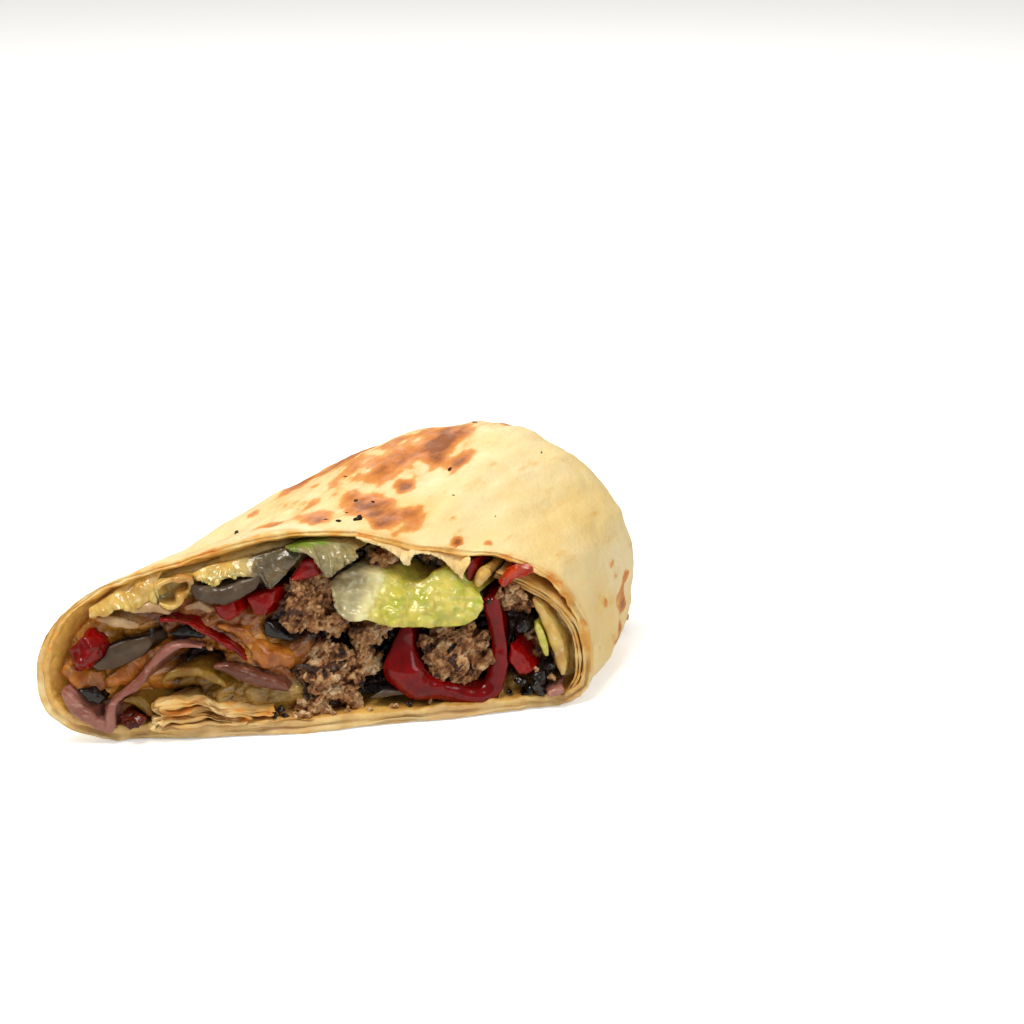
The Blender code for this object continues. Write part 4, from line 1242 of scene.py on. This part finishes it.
# layers seen edge on: the line is in the cut face, with the widths along it
layers = {
    "olive_crescent": {
        "finish": "olive", "slot": "olive", "front": -1.6, "length": 9.0, "wave": 0.4,
        "line": ((-25.0, 31.9), (-23.6, 30.2), (-20.8, 29.3), (-17.0, 29.6), (-13.6, 31.0),
                 (-11.8, 32.0)),
        "widths": (1.4, 3.0, 3.6, 3.8, 2.8, 1.2),
    },
    "pepper_shred": {
        "finish": "pepper", "slot": "pepper", "front": -2.0, "length": 6.0, "wave": 0.3,
        "line": ((-31.4, 25.0), (-27.7, 24.6), (-24.0, 22.9), (-21.0, 20.7), (-17.3, 18.0),
                 (-14.9, 15.6)),
        "widths": (0.7, 0.5, 0.9, 0.6, 0.9, 0.5),
    },
    "pepper_sliver": {
        "finish": "pepper", "slot": "pepper", "front": 0.6, "length": 8.0, "wave": 0.3,
        "line": ((30.6, 32.0), (30.3, 29.8), (29.8, 27.6)),
        "widths": (1.4, 1.9, 1.2),
    },
    "ham_ribbon": {
        "finish": "ham", "slot": "ham", "front": -2.0, "length": 12.0, "wave": 0.4,
        "line": ((-23.5, 18.9), (-27.3, 19.6), (-30.4, 18.5), (-33.2, 16.0), (-35.8, 12.5),
                 (-39.4, 10.0), (-41.4, 7.6), (-41.9, 4.6), (-42.2, 3.0)),
        "widths": (0.9, 1.0, 1.5, 1.2, 1.3, 1.2, 1.6, 2.4, 2.8),
    },
    "ham_low": {
        "finish": "ham", "slot": "ham", "front": -1.2, "length": 12.0, "wave": 0.4,
        "line": ((-50.6, 12.0), (-48.6, 8.8), (-46.2, 6.2), (-43.6, 4.2), (-40.4, 3.4)),
        "widths": (1.6, 3.0, 3.0, 2.2, 1.4),
    },
    "ham_mid": {
        "finish": "stewedHam", "slot": "ham", "front": -1.2, "length": 12.0, "wave": 0.5,
        "line": ((-21.2, 14.4), (-17.4, 13.4), (-13.7, 11.6), (-9.6, 10.0), (-6.6, 8.4)),
        "widths": (1.0, 2.6, 3.2, 2.6, 1.2),
    },
    "ham_heel": {
        "finish": "ham", "slot": "ham", "front": -2.6, "length": 9.0, "wave": 0.3,
        "line": ((45.8, 3.6), (47.4, 3.9), (49.0, 4.3)),
        "widths": (1.2, 1.5, 1.0),
    },
    "cheese_left": {
        "finish": "cheese", "slot": "cheese", "front": 1.0, "length": 12.0, "wave": 0.8,
        "line": ((-50.4, 16.6), (-48.6, 14.4), (-46.0, 13.0), (-42.4, 12.4)),
        "widths": (3.0, 4.8, 4.4, 2.6),
    },
    "cheese_strip": {
        "finish": "cheese", "slot": "cheese", "front": 0.4, "length": 12.0, "wave": 0.7,
        "line": ((-41.9, 11.6), (-38.7, 13.4), (-35.5, 15.8), (-32.4, 17.6), (-30.6, 18.9)),
        "widths": (2.4, 4.2, 4.0, 3.2, 1.4),
    },
    "onion_left": {
        "finish": "onion", "slot": "onion", "front": -1.0, "length": 9.0, "wave": 0.4,
        "line": ((-43.4, 26.0), (-39.6, 25.2), (-35.6, 23.9)),
        "widths": (1.0, 2.2, 1.4),
    },
    "onion_mid": {
        "finish": "onion", "slot": "onion", "front": -1.2, "length": 9.0, "wave": 0.4,
        "line": ((-36.6, 27.0), (-33.2, 27.6), (-29.4, 26.3)),
        "widths": (0.9, 2.2, 1.0),
    },
    "pickle_top": {
        "finish": "pickle", "slot": "pickle", "front": -0.6, "length": 12.0, "wave": 0.5,
        "line": ((-31.2, 11.4), (-29.4, 13.4), (-25.6, 13.6), (-21.4, 12.0), (-19.0, 10.0)),
        "widths": (0.9, 1.8, 2.0, 1.8, 0.9),
    },
    "pickle_low": {
        "finish": "pickle", "slot": "pickle", "front": -0.4, "length": 10.0, "wave": 0.4,
        "line": ((-39.0, 8.6), (-36.4, 8.4), (-34.4, 6.4), (-33.6, 4.8)),
        "widths": (1.0, 2.2, 2.0, 1.2),
    },
    "cabbage_loop": {
        "finish": "cabbage", "slot": "cabbage", "front": -1.6, "length": 10.0, "wave": 1.2,
        "line": ((-31.4, 29.4), (-31.8, 31.6), (-28.9, 32.6), (-25.4, 32.8), (-25.6, 30.6),
                 (-27.4, 29.6), (-28.4, 28.0), (-31.4, 28.2)),
        "widths": (0.6, 1.4, 0.7, 1.6, 0.6, 1.8, 0.7, 1.2),
    },
    "cabbage_rib": {
        "finish": "cabbage", "slot": "cabbage", "front": -0.8, "length": 12.0, "wave": 0.5,
        "line": ((43.2, 23.4), (46.2, 18.0), (48.2, 12.4), (49.2, 6.6)),
        "widths": (1.2, 2.4, 2.6, 1.8),
    },
    "lettuce_right": {
        "finish": "cabbage", "slot": "lettuce", "front": -1.0, "length": 7.0, "wave": 0.6,
        "line": ((31.6, 27.0), (32.8, 29.0), (34.2, 30.2)),
        "widths": (1.2, 2.4, 1.6),
    },
    "lettuce_sprig": {
        "finish": "leaf", "slot": "lettuce", "front": -1.8, "length": 9.0, "wave": 0.5,
        "line": ((43.8, 18.4), (45.0, 15.2), (45.9, 11.6)),
        "widths": (0.8, 1.6, 1.0),
    },
}
# leaves seen face on: an upper and a lower edge, and the depths behind the cut at both
leaves = {
    "lettuce_leaf": {
        "finish": "leaf", "slot": "lettuce", "depths": (0.6, -3.5), "ruffle": 1.6,
        "frill": 0.55, "thickness": 0.6,
        "upper": ((2.2, 29.8), (4.6, 31.4), (8.2, 31.2), (12.4, 30.2), (15.9, 28.6), (18.4, 28.0),
                  (20.7, 28.4), (23.0, 30.0), (26.2, 30.2), (29.8, 27.8), (32.2, 25.4)),
        "lower": ((2.4, 26.8), (3.2, 23.6), (5.2, 21.9), (9.4, 21.5), (11.9, 20.3), (15.8, 19.5),
                  (19.6, 19.1), (23.5, 19.1), (27.4, 18.7), (30.6, 20.2), (32.4, 22.8)),
    },
    "lettuce_hanging": {
        "finish": "hanging", "slot": "lettuce", "depths": (0.2, -2.8), "ruffle": 1.0,
        "frill": 0.5, "thickness": 0.5,
        "upper": ((-6.4, 37.6), (-3.0, 38.0), (1.5, 37.9), (5.0, 37.2), (7.4, 36.0)),
        "lower": ((-5.6, 37.0), (-1.9, 35.6), (1.4, 31.0), (4.2, 32.8), (7.6, 34.4)),
    },
    "lettuce_grey": {
        "finish": "grey", "slot": "lettuce", "depths": (0.6, -1.6), "ruffle": 0.8,
        "frill": 0.35, "thickness": 0.5,
        "upper": ((-23.0, 33.4), (-18.0, 34.8), (-13.0, 35.9), (-8.0, 36.9), (-3.6, 37.4)),
        "lower": ((-21.3, 31.6), (-15.6, 32.4), (-11.4, 31.4), (-9.6, 29.4), (-6.6, 32.4),
                  (-3.4, 36.0)),
    },
    "cabbage_left": {
        "finish": "cabbage", "slot": "cabbage", "depths": (1.6, -1.6), "ruffle": 1.6,
        "frill": 0.4, "thickness": 0.9,
        "upper": ((-44.6, 28.0), (-41.6, 30.4), (-38.4, 32.0), (-35.0, 33.4), (-31.6, 34.2)),
        "lower": ((-44.8, 26.4), (-41.6, 26.6), (-38.6, 27.6), (-36.4, 26.8), (-33.6, 28.8),
                  (-32.0, 28.2)),
    },
    "cabbage_right": {
        "finish": "cabbage", "slot": "cabbage", "depths": (0.6, -1.4), "ruffle": 0.9,
        "frill": 0.35, "thickness": 0.6,
        "upper": ((-24.6, 33.4), (-22.0, 34.4), (-19.0, 34.8), (-16.4, 35.2)),
        "lower": ((-24.0, 32.2), (-22.0, 31.4), (-20.6, 30.6), (-18.6, 32.4), (-16.4, 31.8)),
    },
}


def buildFilling(name):
    finish, slot, voxel, rounding, bumps = fillings[name]
    piece = copyOfNode(name + "_shaped", name)
    applyModifier(piece, "REMESH", mode="VOXEL", voxel_size=voxel * mm)
    applyModifier(piece, "SMOOTH", factor=0.5, iterations=rounding)
    roughen(piece, bumps, len(name) * 1.3, store="relief")
    if name in shifts:
        for point in piece.data.vertices:
            point.co += Vector(shifts[name]) * mm
    addMarks(piece, {"skin": [softStep(-0.8, -0.5, point.normal.y) for point in piece.data.vertices]})
    return finishPiece(piece, finishes[finish], slot, name)


def buildLayer(name):
    layer = layers[name]
    seed = 1.7 * len(name)
    # melted cheese is flatter at the front, and lumpier
    nose, lumps, grain = (0.3, 0.8, 0.25) if layer["slot"] == "cheese" else (0.7, 0.35, 0.12)
    piece = ribbon(name + "_shaped", layer["line"], layer["widths"], layer["front"], layer["length"],
                   wave=layer["wave"], seed=seed, nose=nose)
    roughen(piece, ((3.0, lumps), (1.1, grain)), seed)
    return finishPiece(piece, finishes[layer["finish"]], layer["slot"], name)


def leafMarks(name, spot):
    # how pale a leaf is there, and how much of its thick ridge shows
    if name == "lettuce_leaf":
        away = spot.x - 6.6 - 0.55 * (spot.z - 21.0) + 1.2 * noise.noise(spot / 3)
        return 1 - softStep(-0.8, 1.0, away), 0.9 * math.exp(-((away / 1.5) ** 2))
    if name == "lettuce_hanging":
        top = spot.z + 0.6 * noise.noise(spot / 2)
        return softStep(37.0, 38.2, top) * softStep(4.0, 1.0, spot.x), 0.0
    return 1 - softStep(-15.0, -11.6, spot.x + 2.0 * noise.noise(spot / 3)), 0.0


def buildLeaf(name):
    leaf = leaves[name]
    piece = leafSheet(name + "_shaped", leaf["upper"], leaf["lower"], leaf["depths"], leaf["thickness"],
                      ruffle=leaf["ruffle"], frill=leaf["frill"], seed=1.3 * len(name))
    marks = {}
    for point in piece.data.vertices:
        pale, ridge = leafMarks(name, point.co / mm - cutPlace)
        keepMarks(marks, pale=pale, ridge=ridge)
    addMarks(piece, marks)
    roughen(piece, ((1.6, 0.2),), 4.0)
    return finishPiece(piece, finishes[leaf["finish"]], leaf["slot"], name)


# the big slice of pepper: a fat glossy band, broad at its left corner
ring = {
    "line": ((17.9, 19.6), (17.0, 15.2), (16.9, 10.6), (19.4, 7.4), (23.8, 5.4), (28.2, 4.1),
             (31.9, 3.6), (34.6, 5.2), (35.9, 9.0), (36.2, 13.6), (35.7, 18.8), (34.7, 24.2)),
    "widths": (3.4, 5.2, 7.6, 6.6, 4.4, 4.6, 4.4, 3.8, 3.2, 3.2, 4.0, 4.6),
    "front": -0.4,
    "length": 11.0,
    "lean": (-5.0, 0.6),
}


def buildRing():
    piece = ribbon("pepper_ring_shaped", ring["line"], ring["widths"], ring["front"], ring["length"],
                   columns=200, rows=20, wave=0.5, waveSize=6.0, lean=ring["lean"], endShare=0.6,
                   seed=3.0, nose=0.75)
    roughen(piece, ((6.0, 0.6), (2.2, 0.2)), 6.0)
    return finishPiece(piece, finishes["pepper"], "pepper", "pepper_ring")


sauce = {
    "around": 400,
    "rings": 120,
    "middle": (0.0, 18.0),
    "depth": 7.5,
    "thickness": 1.0,
    # place in the cut, spread, depth behind the cut, mark
    "zones": (
        ((-49.0, 14.5), (5.0, 7.0), 1.6, "cheesy"),
        ((-44.0, 25.0), (6.0, 3.0), 2.0, "cheesy"),
        ((-40.0, 13.0), (7.0, 3.0), 1.8, "cheesy"),
        ((-46.0, 4.0), (6.0, 3.0), 2.0, "golden"),
        ((-37.0, 29.5), (9.0, 3.0), 1.8, "creamy"),
        ((-22.0, 34.5), (9.0, 2.5), 2.2, "creamy"),
        ((-30.0, 26.0), (5.0, 2.0), 2.2, "golden"),
        ((-22.0, 20.5), (7.0, 3.4), 1.2, "golden"),
        ((-14.0, 16.5), (5.0, 3.4), 1.0, "cheesy"),
        ((-9.5, 13.0), (3.6, 4.0), 1.4, "golden"),
        ((-29.5, 14.6), (4.6, 2.6), 7.5, ""),
        ((-25.0, 11.4), (5.0, 1.6), 3.0, "olivey"),
        ((-14.0, 7.0), (7.0, 3.0), 0.6, "olivey"),
        ((-9.0, 19.4), (2.6, 2.2), 6.0, ""),
        ((4.0, 17.0), (4.0, 3.0), 7.0, ""),
        ((13.0, 8.0), (5.0, 6.0), 8.0, ""),
        ((28.0, 12.0), (6.0, 6.0), 7.0, ""),
        ((20.0, 31.0), (10.0, 4.0), 8.5, ""),
        ((42.0, 12.0), (4.0, 8.0), 6.0, ""),
        ((40.0, 3.0), (8.0, 2.0), 2.6, "olivey"),
        ((48.0, 18.0), (3.0, 9.0), 3.0, "creamy"),
    ),
}


def buildSauce():
    marks = {mark: [] for mark in ("cheesy", "golden", "creamy", "olivey")}
    middle = Vector((sauce["middle"][0], 0.0, sauce["middle"][1]))

    def placeAt(across, along):
        wall = wrapPoint(math.tau * across, 0.0, sheet["wall"] * 0.88)
        spot = middle.lerp(Vector((wall.x, 0.0, wall.z)), along)
        weights = {"": 0.04}
        depth = sauce["depth"] * 0.04
        for (x, z), (wide, high), behind, mark in sauce["zones"]:
            weight = math.exp(-(((spot.x - x) / wide) ** 2) - ((spot.z - z) / high) ** 2)
            weights[mark] = weights.get(mark, 0.0) + weight
            depth += behind * weight
        total = sum(weights.values())
        for mark, values in marks.items():
            values.append(softStep(0.25, 0.7, weights.get(mark, 0.0) / total))
        depth /= total
        here = spot / 4.0
        depth += 1.3 * noise.noise(here) + 0.6 * noise.noise(here * 2.6) + 0.25 * noise.noise(here * 6.0)
        depth += 2.0 * softStep(0.93, 1.0, along)
        return carryBack(spot.x, max(0.3, depth), spot.z)

    piece = bentGrid("sauce_and_cheese", sauce["around"], sauce["rings"], placeAt)
    addMarks(piece, marks)
    closeUp(piece)
    applyModifier(piece, "SOLIDIFY", thickness=sauce["thickness"] * mm, offset=0.0)
    return finishPiece(piece, sauceFinish(), "cheese")


bits = {
    # place in the cut, depth, size: dark bits of olive and char, then bits of meat
    "dark": (((-8.4, 4.4), -1.6, 0.8), ((-7.5, 3.4), -3.0, 0.6), ((35.7, 3.5), -0.7, 1.0),
             ((41.9, 3.6), -0.2, 1.1), ((-9.6, 3.6), -2.6, 0.5), ((38.6, 3.3), 0.4, 0.6),
             ((33.8, 24.2), -2.2, 0.5), ((-33.0, 22.6), -1.8, 0.6), ((46.4, 8.8), -1.0, 1.0),
             ((44.2, 4.6), -1.6, 1.3), ((47.2, 11.4), -0.6, 0.8), ((40.6, 6.2), -1.0, 1.0),
             ((12.4, 5.8), -0.4, 0.9), ((8.2, 7.6), 0.6, 0.9), ((17.6, 3.4), -1.6, 0.5),
             ((-1.0, 19.4), 0.0, 0.7)),
    "meat": (((-3.4, 3.3), -2.6, 0.8), ((1.8, 3.3), -2.8, 0.7), ((5.0, 3.3), -2.4, 0.6),
             ((9.6, 3.3), -2.0, 0.5), ((22.0, 3.4), -1.2, 0.5), ((-5.4, 3.4), -2.6, 0.7),
             ((36.4, 4.0), 0.6, 0.8), ((44.0, 7.6), -0.2, 0.7), ((14.4, 3.4), -1.8, 0.6),
             ((38.8, 26.6), -1.0, 1.0), ((36.2, 25.2), -1.0, 0.9), ((-21.6, 18.4), -0.2, 0.7),
             ((47.0, 6.0), -0.6, 0.8), ((40.8, 24.6), -0.6, 1.1)),
}


def buildBits(name, spots, finish, slot):
    parts = []
    for k, ((x, z), depth, size) in enumerate(spots):
        turn = (0.8 * math.sin(2.3 * k), 1.1 * k, 0.7 * k)
        bit = addLump(inFrame((x, depth, z)), size, (1.5, 1.0, 0.55), turn)
        roughen(bit, ((1.4 * size, 0.9 * size),), 2.0 * k, store="relief",
                ridges=((0.9, 0.5 * size), (0.45, 0.25 * size)))
        parts.append(bit)
    return finishPiece(joinPieces(name, parts), finish, slot)


for name in fillings:
    buildFilling(name)
for name in layers:
    buildLayer(name)
for name in leaves:
    buildLeaf(name)
buildRing()
buildSauce()
buildBits("dark_bits", bits["dark"], finishes["oliveSkin"], "olive")
buildBits("meat_bits", bits["meat"], bpy.data.materials["groundMeat"], "meat")
print("filling built")

# floor, light and camera


def buildStage():
    deselectAll()
    bpy.ops.mesh.primitive_plane_add(size=6.0, location=(0, 0, 0))
    floor = bpy.context.object
    floor.name = "floor"
    material, tree, shader = newMaterial("paleFloor", **{"Roughness": 0.9, "Emission Strength": 0.5})
    cloudy = addShader(tree, "TexNoise", {"Scale": 3.0}).outputs["Fac"]
    tones = ramp(tree, cloudy, ((0.3, (0.9, 0.9, 0.89, 1.0)), (0.7, (0.94, 0.94, 0.93, 1.0))))
    seen = addShader(tree, "LightPath").outputs["Is Camera Ray"]
    glow = mixColours(tree, seen, (0.0, 0.0, 0.0, 1.0), (1.0, 0.99, 0.97, 1.0))
    setInputs(tree, shader, {"Base Color": tones, "Emission Color": glow})
    floor.data.materials.append(material)


# place and aim in metres, size, power and colour
lamps = {
    "key": ((-0.26, -0.24, 0.82), (0.0, -0.02, 0.02), 0.4, 6.4, (1.0, 0.95, 0.87)),
    "fill": ((0.5, -0.7, 0.5), (0.0, 0.0, 0.02), 0.4, 1.6, (1.0, 0.97, 0.94)),
    "back": ((0.2, 0.7, 0.6), (0.0, 0.0, 0.03), 0.5, 2.2, (1.0, 0.97, 0.93)),
}


def addLamp(name):
    place, aim, size, power, colour = lamps[name]
    deselectAll()
    bpy.ops.object.light_add(type="AREA", location=place)
    lamp = bpy.context.object
    lamp.name = name
    lamp.data.shape = "SQUARE"
    lamp.data.size = size
    lamp.data.energy = power
    lamp.data.color = colour
    lamp.rotation_euler = (Vector(aim) - Vector(place)).to_track_quat("-Z", "Y").to_euler()


def buildWorld():
    world = bpy.data.worlds.new("pale")
    bpy.context.scene.world = world
    world.use_nodes = True
    sky = world.node_tree.nodes["Background"]
    setInputs(world.node_tree, sky, {0: (1.0, 1.0, 1.0, 1.0), 1: 0.24})
    bpy.context.scene.view_settings.view_transform = "Standard"


# place in millimetres from the middle of the cut, turns in degrees
view = {
    "place": (-79.32, -523.6, 210.89),
    "turn": 12.73,
    "down": 17.5,
    "lens": 100.0,
    "sensor": 36.0,
    "near": 0.01,
    "far": 20.0,
}


def buildCamera():
    bpy.ops.object.camera_add(location=inFrame(view["place"]))
    camera = bpy.context.object
    camera.rotation_euler = (math.radians(90 - view["down"]), 0.0, math.radians(-view["turn"]))
    camera.data.lens = view["lens"]
    camera.data.sensor_width = view["sensor"]
    camera.data.clip_start = view["near"]
    camera.data.clip_end = view["far"]
    bpy.context.scene.camera = camera


buildStage()
for name in lamps:
    addLamp(name)
buildWorld()
buildCamera()
print("stage set")
